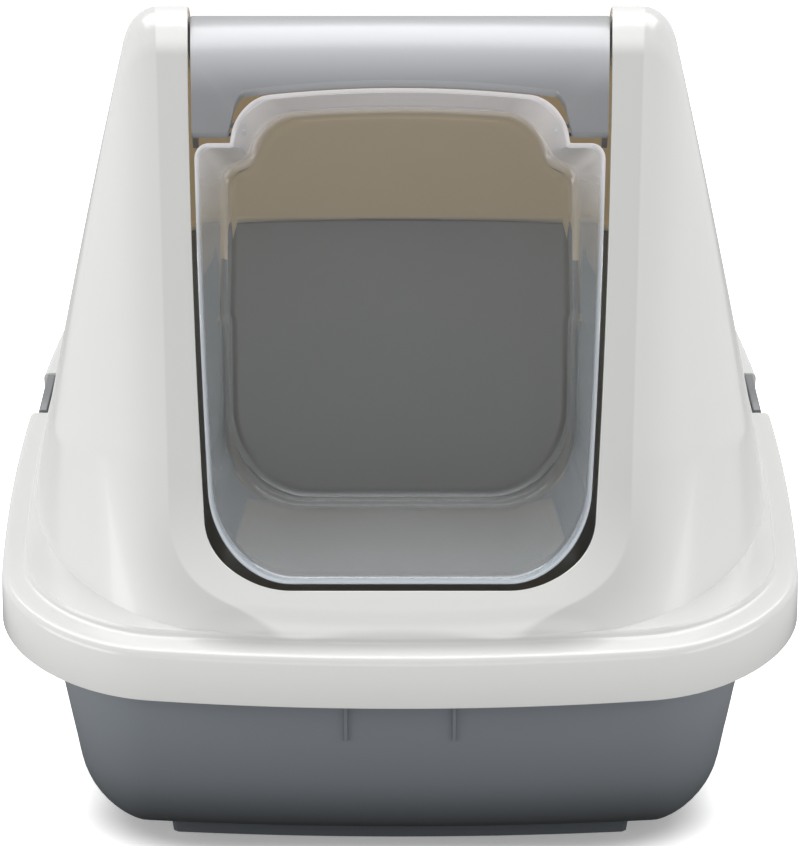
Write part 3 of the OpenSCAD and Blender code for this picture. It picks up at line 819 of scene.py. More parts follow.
# On the hood's inner skin, inner is a painted warm shade and glow is a painted glow in place of the dim light inside.
HOOD_WHITE = PlasticFinish("hood_white", (0.80, 0.805, 0.785), roughness=0.24, coat=0.3, bump=0.02,
                           inner=(0.62, 0.50, 0.34), glow=(0.145, 0.112, 0.068))
PAN_GREY = PlasticFinish("pan_grey", (0.24, 0.262, 0.285), roughness=0.36, coat=0.1, bump=0.05, drift=0.05,
                         painted_light=PAN_PAINTED_SHADE)
# The cover's colour is scaled by the painted highlight near its ridge; behind the front it keeps the lower factor.
COVER_GREY = PlasticFinish("cover_grey", (0.97, 1.0, 1.05), roughness=0.34, coat=0.6, bump=0.02, coat_rough=0.22,
                           painted_light=RIDGE_PAINTED_HIGHLIGHT)
TRAY_GREY = PlasticFinish("tray_grey", (0.30, 0.31, 0.32), roughness=0.4, coat=0.05)
CLIP_GREY = PlasticFinish("clip_grey", (0.17, 0.178, 0.19), roughness=0.36, coat=0.1)
FLAP_CLEAR = ClearFinish("flap_clear", (0.90, 0.925, 0.935), (0.82, 0.85, 0.87))
FILTER_BLACK = FeltFinish("filter_black", (0.018, 0.018, 0.02))


def dress(obj: bpy.types.Object, finish: PlasticFinish | ClearFinish | FeltFinish, body: Body,
          *nodes: str) -> bpy.types.Object:
    """Gives a piece its finish, body and material slot.

    Args:
        obj: The piece.
        finish: Its finish, named after the material slot.
        body: The body that it rides on.
        nodes: CAD nodes that it stands for.

    Returns:
        The same piece.
    """
    obj.data.materials.clear()
    obj.data.materials.append(finish.build())
    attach(obj, body.value)
    if nodes:
        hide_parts(*nodes)
    LOG.info("%s: %d faces on %s", obj.name, len(obj.data.polygons), body.value)
    return obj


@dataclass
class ClipPlace:
    """Frame of a side clip: x across, y along the rising rim, z square to the ledge."""

    y: float = 5.0
    length: float = 46.0
    outer: float = 190.2
    top_w: float = 4.4
    pin_x: float = 185.6
    pin_z: float = -14.0
    knuckle_r: float = 3.4
    slot_x: float = 185.2
    slot_half: float = 25.6

    def to_box(self, p: Array) -> Array:
        """Moves points from the clip's frame to the box."""
        a = math.radians(FORM.rim_slope)
        p = np.asarray(p, float)
        y = self.y + p[..., 1] * math.cos(a) - p[..., 2] * math.sin(a)
        z = FORM.rim_z(self.y) + p[..., 1] * math.sin(a) + p[..., 2] * math.cos(a)
        return np.stack([p[..., 0], y, z], axis=-1)

    def block(self, name: str, low: Sequence[float], high: Sequence[float], bevel: float = 0.0) -> bpy.types.Object:
        """Makes a block between two corners in the clip's frame."""
        (x0, y0, z0), (x1, y1, z1) = low, high
        outline = [(x0, y0), (x1, y0), (x1, y1), (x0, y1)]
        return MeshMaker.prism(name, outline, z1 - z0,
                               lambda p: self.to_box(p + np.array([0, 0, z0])), bevel)


@dataclass
class Hood:
    """The white hood with its ledge, band, entrance, clip pockets and inner flanges."""

    outer_levels: int = 60
    inner_levels: int = 24
    edge_r: float = 0.8
    cove_r: float = 2.5
    band_edge_r: float = 3.0
    skin_depth: float = 1.6
    clips: ClipPlace = field(default_factory=ClipPlace)
    ray_centre: Array = field(default_factory=lambda: np.array([0.0, 10.0, 150.0]))

    def entrance(self, offset: float, depth: float) -> Array:
        """Ring along the entrance, moved off its edge and below the skin."""
        x, y = trace(lambda x, y: FORM.entrance_dist(x, y) - offset, 5.0, 400.0, FORM.entrance_centre_y)
        z = solve(lambda z: FORM.hood_dist(np.stack([x, y, z], -1)) + depth,
                  np.full(RING_STEPS, 60.0), np.full(RING_STEPS, 402.0))
        return np.stack([x, y, z], -1)

    def foot(self, offset: float, dz: float) -> Array:
        """Ring along the line where the hood meets its ledge."""
        x, y = trace(lambda x, y: FORM.wall_dist(x, y) - offset, *OUTLINE_SPAN)
        return np.stack([x, y, FORM.rim_z(y) + dz], -1)

    def skin(self, start: Array, end: Array, level: float, depth: float) -> Array:
        """Ring on the skin between two others, below the surface by depth."""
        way = start + (end - start) * level - self.ray_centre
        k = solve(lambda k: FORM.hood_dist(self.ray_centre + k[:, None] * way) + depth,
                  np.full(RING_STEPS, 0.3), np.full(RING_STEPS, 3.0))
        return self.ray_centre + k[:, None] * way

    def rings(self) -> list[Array]:
        """All rings, from the entrance over the skin, ledge and band to the inside."""
        e, w, c, b_r = self.edge_r, FORM.wall, self.cove_r, self.band_edge_r
        top = self.entrance(e, 0.0)
        foot = self.foot(0.0, c)
        outer = np.linspace(0, 1, self.outer_levels + 2)[1:-1]
        inner = np.linspace(0, 1, self.inner_levels + 2)[1:-1]
        rings = [self.entrance(e * 0.3, e * 0.3), top]
        rings += [self.skin(top, foot, t, 0.0) for t in outer]
        rings += [foot]
        rings += [self.foot(c - c * math.cos(b), c - c * math.sin(b))
                  for b in np.radians([22.5, 45, 67.5, 90])]
        rings += [self.foot(5.0, 0.0), FORM.rim_ring(5.0, 0.0)]
        rings += [FORM.rim_ring(b_r - b_r * math.sin(b), b_r * math.cos(b) - b_r)
                  for b in np.radians([0, 15, 30, 45, 60, 75, 90])]
        h = -FORM.band_h
        rings += [FORM.rim_ring(0, h + 0.8), FORM.rim_ring(0.25, h + 0.22), FORM.rim_ring(0.8, h),
                  FORM.rim_ring(w - 0.6, h), FORM.rim_ring(w, h + 0.6), FORM.rim_ring(w, -w), self.foot(-w, -w)]
        low_foot, low_top = self.foot(-w, -w), self.entrance(0.5, w)
        rings += [self.skin(low_top, low_foot, 0.97, w)]
        rings += [self.skin(low_top, low_foot, t, w) for t in inner[::-1]]
        rings += [low_top, self.entrance(0.0, w - 0.5), self.entrance(0.0, e)]
        return rings

    def slots(self, shell: bpy.types.Object) -> None:
        """Cuts the two slots for the side clips out of the ledge and the band."""
        clips, tools = self.clips, []
        for side in Side:
            xs = sorted((side.value * clips.slot_x, side.value * (clips.slot_x + 30)))
            tools.append(clips.block("slot", (xs[0], -clips.slot_half, -FORM.band_h - 8),
                                     (xs[1], clips.slot_half, 6.0)))
        MeshMaker.cut(shell, tools)

    def keepers(self) -> list[bpy.types.Object]:
        """Strips under the edge of each slot that the noses of the clips hold down."""
        clips, made = self.clips, []
        half, top = clips.length / 2 + 0.6, 0.4 - FORM.wall
        for side in Side:
            xs = sorted((side.value * (clips.slot_x - 3), side.value * (clips.outer - clips.top_w + 1.2)))
            made.append(clips.block(f"hood_keeper_{side.name.lower()}", (xs[0], -half, top - 3.4),
                                    (xs[1], half, top), 0.3))
        return made

    def inside(self, verts: Array) -> Array:
        """Tells which points lie on the inner skin of the hood, as 0 or 1."""
        high = verts[:, 2] > FORM.rim_z(verts[:, 1]) - 1
        return ((FORM.hood_dist(verts) < -self.skin_depth) & high).astype(float)

    def flanges(self) -> list[bpy.types.Object]:
        """Upright flanges inside the shoulders that hold the pins of the cover."""
        axis = TopCover.hinge_axis()
        z = FORM.front_z
        outline = [(-26, z(-26) - 3), (-12, FORM.height - 5), (6, FORM.height - 3.4), (22, FORM.back_z(22) - 2.6),
                   (68, FORM.back_z(68) - 2.2), (68, FORM.back_z(68) - 12), (axis[0], axis[1] - 8),
                   (0, FORM.ridge_z), (-20, z(-20) - 24)]
        made = []
        for side in Side:
            x0 = 110 if side is Side.RIGHT else -113
            made.append(MeshMaker.prism(f"hood_flange_{side.name.lower()}", outline, 3.0,
                                        lambda p, x0=x0: np.stack([x0 + p[:, 2], p[:, 0], p[:, 1]], -1), 0.4))
        return made

    def build(self) -> None:
        """Builds and dresses the hood."""
        shell = MeshMaker.rings("hood_shell", self.rings(), closed=True, sharp=35)
        self.slots(shell)
        # The inside mask carries the painted shade and painted glow of the inner skin.
        MeshMaker.mask(shell, "inside", self.inside(np.array([v.co for v in shell.data.vertices]) / MM))
        dress(shell, HOOD_WHITE, Body.HOOD, "hood")
        for obj in [*self.keepers(), *self.flanges()]:
            dress(obj, HOOD_WHITE, Body.HOOD)


@dataclass
class Pan:
    """The deep grey pan with its flange, foot ring, ribs and clip lugs."""

    wall: float = 2.8
    inset: float = 23.0
    draft: float = 11.9
    bottom_r: float = 34.0
    foot_h: float = 9.0
    foot_w: float = 10.0
    rib_x: float = 25.0
    rib_w: float = 1.6
    lug_w: float = 4.0
    lug_gap: float = 3.2
    clips: ClipPlace = field(default_factory=ClipPlace)

    def curl(self, dz: Array, r: float) -> Array:
        """How far the wall curls in near the bottom, dz above it."""
        return np.where(dz >= r, 0.0, r - np.sqrt(np.maximum(0.0, r * r - (r - dz) ** 2)))

    def inset_at(self, y: Array, z: Array, thick: float) -> Array:
        """Inset of the wall from the rim at a place and height."""
        slope = math.tan(math.radians(self.draft))
        return (self.inset + slope * (FORM.rim_z(y) - FORM.band_h - z) + thick
                + self.curl(z - self.foot_h - thick, self.bottom_r - thick))

    def ring(self, z_of: Callable[[Array], Array], thick: float) -> Array:
        """Ring on the wall at the heights z_of gives."""
        x, y = trace(lambda x, y: FORM.plan_dist(x, y) + self.inset_at(y, z_of(y), thick), *OUTLINE_SPAN)
        return np.stack([x, y, z_of(y) + 0 * y], -1)

    def foot(self, inset: float, z: float) -> Array:
        """Ring on the foot."""
        p = self.ring(lambda y: self.foot_h + 0 * y, 0.0)
        r = np.hypot(p[:, 0], p[:, 1])
        k = 1 - inset / r
        return np.stack([p[:, 0] * k, p[:, 1] * k, np.full(RING_STEPS, z)], -1)

    def rings(self) -> list[Array]:
        """All rings, from the inner floor over the flange to the foot."""
        r, t, fz = self.bottom_r, self.wall, self.foot_h
        top, lip = -FORM.wall - 0.3, 3.0
        outer_x = FORM.wall + 0.8
        bends = np.radians(np.linspace(0, 90, 13)[1:])
        levels = np.linspace(0, 1, 15)[1:]

        def up(level: float) -> Callable[[Array], Array]:
            """Heights of a ring part of the way up the straight wall."""
            return lambda y: (fz + r) + (FORM.rim_z(y) + top - lip - fz - r) * level

        rings = [self.foot(self.foot_w + 4, fz), self.foot(self.foot_w + 3, 0.6), self.foot(self.foot_w + 2.4, 0),
                 self.foot(4.2, 0), self.foot(3.3, 0.3), self.foot(3, 1.0), self.foot(1, fz - 0.4)]
        rings += [self.ring(lambda y, b=b: fz + r * (1 - math.cos(b)) + 0 * y, 0.0) for b in bends]
        rings += [self.ring(up(level), 0.0) for level in levels]
        flange = ((outer_x + 2.5, top - lip), (outer_x + 2.5, top - 8), (outer_x, top - 8), (outer_x, top - 0.8),
                  (outer_x + 0.8, top))
        rings += [FORM.rim_ring(inset, dz) for inset, dz in flange]
        rings += [self.ring(lambda y: FORM.rim_z(y) + top, t - 0.6)]
        rings += [self.ring(up(level), t) for level in levels[::-1][1:]]
        rings += [self.ring(lambda y, b=b: fz + t + (r - t) * (1 - math.cos(b)) + 0 * y, t) for b in bends[::-1]]
        rings += [self.ring(lambda y: fz + t + 0 * y, t)]
        return rings[::-1]

    def ribs(self) -> list[bpy.types.Object]:
        """Two slim ribs down the front of the pan."""
        made = []
        front = np.array([-FORM.half_l])
        top_z = FORM.rim_z(-FORM.half_l) - 6.8
        low_z = FORM.rim_front_z - FORM.band_h - 24
        top_y = -FORM.half_l + float(self.inset_at(front, np.array([top_z]), 0)[0])
        low_y = -FORM.half_l + float(self.inset_at(front, np.array([low_z]), 0)[0])
        outline = [(top_y - 2, top_z), (low_y - 1.2, low_z + 6), (low_y + 0.4, low_z), (low_y + 1.5, low_z),
                   (top_y + 1.5, top_z)]
        for side in Side:
            x0 = side.value * self.rib_x - self.rib_w / 2
            made.append(MeshMaker.prism(f"pan_rib_{side.name.lower()}", outline, self.rib_w,
                                        lambda p, x0=x0: np.stack([x0 + p[:, 2], p[:, 0], p[:, 1]], -1), 0.25))
        return made

    def lugs(self) -> list[bpy.types.Object]:
        """Ribs that hold the pins of the side clips."""
        made = []
        clips, top = self.clips, -FORM.wall - 0.3
        px, pz, r, w = clips.pin_x, clips.pin_z, clips.knuckle_r, FORM.half_w
        turn = [(px + r * math.cos(t), pz + r * math.sin(t)) for t in np.radians(np.arange(0, -91, -15))]
        outline = [(w - 22, top - 1), (w - 20, pz), *turn[::-1], (px, top - 1)]
        for side in Side:
            for end in (-1, 1):
                y0 = end * (clips.length / 2 + self.lug_gap) - self.lug_w / 2
                made.append(MeshMaker.prism(
                    f"pan_lug_{side.name.lower()}_{'rear' if end > 0 else 'front'}",
                    [(side.value * u, v) for u, v in outline], self.lug_w,
                    lambda p, y0=y0: clips.to_box(np.stack([p[:, 0], y0 + p[:, 2], p[:, 1]], -1)), 0.4))
        return made

    def build(self) -> None:
        """Builds and dresses the pan."""
        shell = MeshMaker.rings("pan_shell", self.rings(), closed=False, sharp=35)
        cut_x, half = self.clips.slot_x - 3.8, self.clips.length / 2 + self.lug_gap
        tools = []
        for side in Side:
            xs = sorted((side.value * cut_x, side.value * (cut_x + 30)))
            tools.append(self.clips.block("notch", (xs[0], -half, -28), (xs[1], half, 6)))
        MeshMaker.cut(shell, tools)
        dress(shell, PAN_GREY, Body.PAN, "pan")
        for obj in [*self.ribs(), *self.lugs()]:
            dress(obj, PAN_GREY, Body.PAN)


@dataclass
class TopCover:
    """The grey top cover, which also carries the filter tray and the filter."""

    edge_r: float = 0.5

    @staticmethod
    def hinge_axis() -> tuple[float, float]:
        """Place (y, z) of the hinge behind the ridge."""
        a = math.radians(FORM.back_slope)
        y = FORM.roof_opening_y - 8
        return y - HINGE_DEPTH * math.sin(a), FORM.back_z(y) - HINGE_DEPTH * math.cos(a)

    def build(self) -> None:
        """Builds and dresses the cover with its tray and filter."""
        dress(MeshMaker.rounded_copy("cover_shell", "top_cover", self.edge_r), COVER_GREY, Body.COVER, "top_cover")
        FilterTray().build()
        FilterPad().build()


class Slats:
    """Geometry Nodes tree that lays out a row of equal bars."""

    NAME = "slats"

    @classmethod
    def tree(cls) -> bpy.types.NodeTree:
        """Builds the tree once and returns it."""
        if cls.NAME in bpy.data.node_groups:
            return bpy.data.node_groups[cls.NAME]
        tree = bpy.data.node_groups.new(cls.NAME, "GeometryNodeTree")
        new_socket(tree, "Geometry", True, "NodeSocketGeometry")
        new_socket(tree, "Count", True, "NodeSocketInt", 8)
        new_socket(tree, "Start", True, "NodeSocketVector")
        new_socket(tree, "Step", True, "NodeSocketVector")
        new_socket(tree, "Bar Size", True, "NodeSocketVector")
        new_socket(tree, "Slope", True, "NodeSocketVector")
        new_socket(tree, "Material", True, "NodeSocketMaterial")
        new_socket(tree, "Geometry", False, "NodeSocketGeometry")
        nodes, links = tree.nodes, tree.links
        source, sink = nodes.new("NodeGroupInput"), nodes.new("NodeGroupOutput")
        line = nodes.new("GeometryNodeMeshLine")
        line.mode = "OFFSET"
        bar = nodes.new("GeometryNodeMeshCube")
        place = nodes.new("GeometryNodeInstanceOnPoints")
        real = nodes.new("GeometryNodeRealizeInstances")
        join = nodes.new("GeometryNodeJoinGeometry")
        paint = nodes.new("GeometryNodeSetMaterial")
        links.new(source.outputs["Count"], line.inputs["Count"])
        links.new(source.outputs["Start"], line.inputs["Start Location"])
        links.new(source.outputs["Step"], line.inputs["Offset"])
        links.new(source.outputs["Bar Size"], bar.inputs["Size"])
        links.new(line.outputs["Mesh"], place.inputs["Points"])
        links.new(bar.outputs["Mesh"], place.inputs["Instance"])
        links.new(source.outputs["Slope"], place.inputs["Rotation"])
        links.new(source.outputs["Geometry"], join.inputs["Geometry"])
        links.new(place.outputs["Instances"], join.inputs["Geometry"])
        links.new(join.outputs["Geometry"], real.inputs["Geometry"])
        links.new(real.outputs["Geometry"], paint.inputs["Geometry"])
        links.new(source.outputs["Material"], paint.inputs["Material"])
        links.new(paint.outputs["Geometry"], sink.inputs["Geometry"])
        return tree

    @classmethod
    def add(cls, obj: bpy.types.Object, values: dict[str, object]) -> None:
        """Lays bars onto a piece and bakes them into its mesh.

        Args:
            obj: The piece that the bars join.
            values: Value of each named input.
        """
        mod = obj.modifiers.new("slats", "NODES")
        mod.node_group = cls.tree()
        names = {item.name: item.identifier for item in mod.node_group.interface.items_tree
                 if item.in_out == "INPUT"}
        for name, value in values.items():
            mod[names[name]] = value
        obj.update_tag()
        MeshMaker.bake(obj)


@dataclass
class BackSlope:
    """Frame on the back slope of the cover: y down the slope, z out of it."""

    y: float = 36.0

    def to_box(self, p: Array) -> Array:
        """Moves points from the slope's frame to the box."""
        a = math.radians(FORM.back_slope)
        p = np.asarray(p, float)
        y = self.y + p[..., 1] * math.cos(a) + p[..., 2] * math.sin(a)
        z = FORM.back_z(self.y) - p[..., 1] * math.sin(a) + p[..., 2] * math.cos(a)
        return np.stack([p[..., 0], y, z], axis=-1)


@dataclass
class FilterTray:
    """Slotted tray under the vents that holds the filter."""

    width: float = 130.0
    length: float = 32.0
    wall: float = 2.0
    low: float = -14.0
    high: float = -5.2
    filter_w: float = 120.0
    filter_l: float = 26.0
    clear: float = 0.4
    bars: int = 10
    bar_gap: float = 6.0
    slope: BackSlope = field(default_factory=BackSlope)

    def build(self) -> None:
        """Builds the walls as one ring and the floor as a row of slats."""
        hw, hl = self.width / 2, self.length / 2
        iw, il = self.filter_w / 2 + self.clear, self.filter_l / 2 + self.clear
        outer = [(-hw, -hl), (hw, -hl), (hw, hl), (-hw, hl)]
        inner = [(-iw, -il), (iw, -il), (iw, il), (-iw, il)]
        rings = [[(u, v, z) for u, v in path] for path, z in
                 ((outer, self.low), (outer, self.high), (inner, self.high), (inner, self.low))]
        tray = MeshMaker.rings("tray", [self.slope.to_box(np.array(ring)) for ring in rings], closed=True)
        MeshMaker.outwards(tray)
        MeshMaker.bevel(tray, 0.4, 2)
        pitch = (self.filter_w - 2 * self.bar_gap) / (self.bars - 1)
        first = self.slope.to_box(np.array([-pitch * (self.bars - 1) / 2, 0, self.low + self.wall / 2])) * MM
        Slats.add(tray, {
            "Count": self.bars,
            "Start": tuple(first),
            "Step": (pitch * MM, 0.0, 0.0),
            "Bar Size": ((pitch - self.bar_gap) * MM, (self.filter_l + 2) * MM, (self.wall - 0.2) * MM),
            "Slope": (-math.radians(FORM.back_slope), 0.0, 0.0),
            "Material": TRAY_GREY.build(),
        })
        dress(tray, TRAY_GREY, Body.COVER, "filter_tray")


@dataclass
class FilterPad:
    """Soft odour filter: a felt pad that swells a little between its edges."""

    width: float = 120.0
    length: float = 26.0
    thick: float = 6.0
    low: float = -11.98
    cells: tuple[int, int] = (72, 18)
    slope: BackSlope = field(default_factory=BackSlope)

    def sheet(self, top: bool) -> Array:
        """One face of the pad as a grid of points, thinner towards the edges."""
        u, v = np.meshgrid(np.linspace(-1, 1, self.cells[0] + 1), np.linspace(-1, 1, self.cells[1] + 1), indexing="ij")
        swell = ((1 - np.abs(u) ** 24) * (1 - np.abs(v) ** 6)) ** 0.35
        ripple = 0.12 * np.sin(7.3 * u + 2.1 * v) + 0.08 * np.sin(17.7 * u - 5.2 * v + 1.3)
        mid, half = self.low + self.thick / 2, self.thick / 2 - 0.25
        z = mid + (1 if top else -1) * half * (0.42 + 0.58 * swell) + ripple * swell * (1 if top else 0)
        return np.stack([u * (self.width / 2 - 0.3), v * (self.length / 2 - 0.3), z], -1)

    def build(self) -> None:
        """Builds and dresses the pad."""
        nu, nv = self.cells[0] + 1, self.cells[1] + 1
        grids = [self.sheet(False).reshape(-1, 3), self.sheet(True).reshape(-1, 3)]
        verts = self.slope.to_box(np.concatenate(grids))
        count = nu * nv

        def at(i: int, j: int) -> int:
            """Number of a point of the grid."""
            return i * nv + j

        faces: list[tuple[int, ...]] = []
        for i in range(nu - 1):
            for j in range(nv - 1):
                quad = (at(i, j), at(i + 1, j), at(i + 1, j + 1), at(i, j + 1))
                faces += [quad[::-1], tuple(count + q for q in quad)]
        edge = ([at(i, 0) for i in range(nu)] + [at(nu - 1, j) for j in range(1, nv)]
                + [at(i, nv - 1) for i in range(nu - 2, -1, -1)] + [at(0, j) for j in range(nv - 2, 0, -1)])
        for k, a in enumerate(edge):
            b = edge[(k + 1) % len(edge)]
            faces.append((a, b, count + b, count + a))
        pad = MeshMaker.finish("filter_pad", verts, faces, 60.0)
        MeshMaker.outwards(pad)
        dress(pad, FILTER_BLACK, Body.COVER, "carbon_filter")


@dataclass
class Flap:
    """The see-through swing flap: a lip in the slope, a shelf and an upright panel."""

    wall: float = 1.8
    gap: float = 2.4
    top_z: float = 320.6
    apex_z: float = 345.6
    border: float = 11.0
    notch_border: float = 13.4
    crown_r: float = 700.0
    arch_half_w: float = 87.5
    arch_r: float = 16.0
    corner_blend: float = 9.0
    panel_half_w: float = 88.0
    shelf_rise: float = 10.0
    panel_depth: float = 18.0
    panel_lean: float = 24.7
    mid_z: float = 240.0
    # Strengths of painted light on the flap: a painted highlight on the lip and bead, painted reflection on the border
    # and shelf.
    lip_painted_highlight: float = 0.7
    side_painted_reflection: float = 0.13
    top_painted_reflection: float = 0.42
    bead_painted_highlight: float = 0.2
    shelf_painted_reflection: float = 0.05

    @property
    def low_z(self) -> float:
        """Height of the lower edge of the lip."""
        return FORM.front_z(FORM.sill_y) + 3.2 * math.sin(math.radians(FORM.front_slope))

    def arch(self, x: Array, z: Array, inset: float) -> Array:
        """Signed distance to the arched upper part."""
        sides = np.abs(x) - self.arch_half_w + self.gap + 3 * (z - self.top_z) / 22 + inset
        crown = z - self.apex_z + x * x / (2 * self.crown_r)
        return np.maximum(rounded([sides, crown + inset], self.arch_r + 0.3 * inset), self.mid_z - z)

    def lip_dist(self, x: Array, z: Array, inset: float) -> Array:
        """Signed distance to the outline of the lip, in front view."""
        skirt = rounded([np.abs(x) - FORM.entrance_half_w(FORM.front_y(z)) + self.gap + inset, self.low_z - z + inset],
                        FORM.entrance_corner_r - self.gap)
        return np.minimum(rounded([skirt, z - self.top_z + inset], 7.0), self.arch(x, z, inset))

    def panel_dist(self, x: Array, z: Array, inset: float) -> Array:
        """Signed distance to the outline of the panel, in front view."""
        floor = self.low_z + self.shelf_rise
        skirt = rounded([np.abs(x) - self.panel_half_w - 0.02 * (z - self.mid_z) + inset, floor - z + inset], 40.0)
        low = rounded([skirt, z - self.top_z + self.notch_border + inset], 9.0)
        high = self.arch(x, z, self.border + inset)
        blend = np.maximum(self.corner_blend - np.abs(low - high), 0)
        return np.minimum(low, high) - blend * blend / (4 * self.corner_blend)

    def polar(self, dist: Callable[[Array, Array], Array]) -> tuple[Array, Array]:
        """Points (x, z) of an outline round the middle of the flap."""
        return trace(dist, 5.0, 300.0, self.mid_z)

    def lip(self, inset: float, back: float = 0.0) -> Array:
        """Ring on the lip, moved in and behind the slope."""
        x, z = self.polar(lambda x, z: self.lip_dist(x, z, inset))
        a = math.radians(FORM.front_slope)
        return np.stack([x, FORM.front_y(z) + back * math.sin(a), z - back * math.cos(a)], -1)

    def panel(self, inset: float, back: float) -> Array:
        """Ring on the panel, moved in and behind its face."""
        x, z = self.polar(lambda x, z: self.panel_dist(x, z, inset))
        top = self.apex_z - self.border
        y = FORM.front_y(top) + self.panel_depth + (z - top) * math.tan(math.radians(self.panel_lean))
        return np.stack([x, y + back, z], -1)

    def rings(self) -> list[Array]:
        """All rings, from the middle of the face over the lip to the middle of the back."""
        w = self.wall
        fronts, backs = self.lip(w), self.lip(0.0)
        edge, back_edge = self.panel(0.0, 0.0), self.panel(-w, w)
        run = np.linspace(0, 1, 22)[1:-2]
        rings = [self.panel(i, 0.0) for i in (60, 45, 30, 20, 14, 10, 7, 5.5)]
        rings += [self.panel(4.6, -0.35), self.panel(3.7, -0.5), self.panel(2.8, -0.35), self.panel(2.0, 0.0)]
        rings += [fronts + (edge - fronts) * t for t in run[::-1]]
        rings += [self.lip(w + 0.5), self.lip(w - 0.2, -0.12), self.lip(0.5, -0.1), self.lip(0.1, 0.1),
                  self.lip(0.0, 0.5)]
        rings += [backs + (back_edge - backs) * t for t in run]
        rings += [self.panel(i, w) for i in (1.4, 4, 7, 10, 14, 20, 30, 45, 60)]
        return rings

    def haze(self, verts: Array) -> Array:
        """Painted reflection and highlight: a painted highlight on the lip and on the bead round the panel, and painted
        reflection on the border, stronger at the top, and on the shelf towards the lip.

        Args:
            verts: Points of the flap in millimetres.

        Returns:
            One value from 0 to 1 for each point.
        """
        x, y, z = verts[:, 0], verts[:, 1], verts[:, 2]
        panel = self.panel_dist(x, z, 0.0)
        lip = np.clip(1 - np.abs(self.lip_dist(x, z, 0.0) + 0.8) / 1.4, 0, 1) * (np.abs(y - FORM.front_y(z)) < 2.5)
        border = np.clip((panel + 0.5) / 2, 0, 1)
        top = np.clip((z - 285) / 50, 0, 1)
        bead = np.clip(1 - np.abs(panel + 1.2) / 1.3, 0, 1)
        shelf = np.clip((self.low_z + self.shelf_rise + 6 - z) / 14, 0, 1)
        return np.clip(self.lip_painted_highlight * lip + (self.side_painted_reflection + self.top_painted_reflection * top) * border
                       + self.bead_painted_highlight * bead + self.shelf_painted_reflection * shelf, 0, 0.8)

    def bosses(self) -> list[bpy.types.Object]:
        """Bosses beside the arch with the pins that the flap swings on."""
        made = []
        a = math.radians(FORM.front_slope)
        end_z = FORM.height - 57.8
        pin_z = end_z + 5.8
        axis = (float(FORM.front_y(pin_z)) + HINGE_DEPTH * math.sin(a), pin_z - HINGE_DEPTH * math.cos(a))
        cheek_out = float(FORM.entrance_half_w(np.array([FORM.front_y(end_z)]))[0]) - 1.5
        spans = {"boss": (77.5, cheek_out - 6.3, 3.2), "pin": (cheek_out - 6.8, cheek_out - 0.4, 2.0)}
        for side in Side:
            for part, (x0, x1, r) in spans.items():
                made.append(MeshMaker.prism(
                    f"flap_{part}_{side.name.lower()}", disc(*axis, r, 10), x1 - x0,
                    lambda p, s=side.value, x0=x0: np.stack([s * (x0 + p[:, 2]), p[:, 0], p[:, 1]], -1), 0.3))
        return made

    def build(self) -> None:
        """Builds and dresses the flap."""
        shell = MeshMaker.rings("flap_shell", self.rings(), closed=False, sharp=50)
        verts = np.array([v.co for v in shell.data.vertices]) / MM
        # The mask carries the flap's painted reflection and highlight.
        MeshMaker.mask(shell, "haze", self.haze(verts))
        dress(shell, FLAP_CLEAR, Body.FLAP, "flap")
        for obj in self.bosses():
            dress(obj, FLAP_CLEAR, Body.FLAP)


@dataclass
class SideClip:
    """A grey lever that turns on the pan and snaps its nose over the hood."""

    side: Side
    place: ClipPlace = field(default_factory=ClipPlace)
    thick: float = 2.6
    stand: float = 0.4
    pin_r: float = 2.0
    pin_reach: float = 4.8

    def outline(self) -> list[tuple[float, float]]:
        """Side view of the clip in its own frame, as (x, z), counter-clockwise."""
        at = self.place
        out, nose, arm, pz, r = at.outer, at.outer - at.top_w, at.outer - self.thick, at.pin_z, at.knuckle_r
        low = 0.7 - FORM.wall
        turn = [(at.pin_x + r * math.cos(t), pz + r * math.sin(t)) for t in np.radians(np.arange(-215, 1, 15))]
        return [*turn, (out, pz + 3), (out, self.stand - 0.6), (out - 0.6, self.stand), (nose + 0.6, self.stand),
                (nose, self.stand - 0.6), (nose, low), (arm, low), (arm, pz + 5.5)]

    def build(self) -> None:
        """Builds and dresses the clip."""
        s, name = self.side.value, self.side.name.lower()
        half = self.place.length / 2
        arm = MeshMaker.prism(f"clip_arm_{name}", [(s * u, v) for u, v in self.outline()], 2 * half,
                              lambda p: self.place.to_box(np.stack([p[:, 0], p[:, 2] - half, p[:, 1]], -1)), 0.3)
        pin = disc(s * self.place.pin_x, self.place.pin_z, self.pin_r, 15)
        reach = half + self.pin_reach
        axle = MeshMaker.prism(f"clip_pin_{name}", pin, 2 * reach,
                               lambda p: self.place.to_box(np.stack([p[:, 0], p[:, 2] - reach, p[:, 1]], -1)), 0.3)
        body = Body.CLIP_LEFT if self.side is Side.LEFT else Body.CLIP_RIGHT
        dress(arm, CLIP_GREY, body, body.value)
        dress(axle, CLIP_GREY, body)


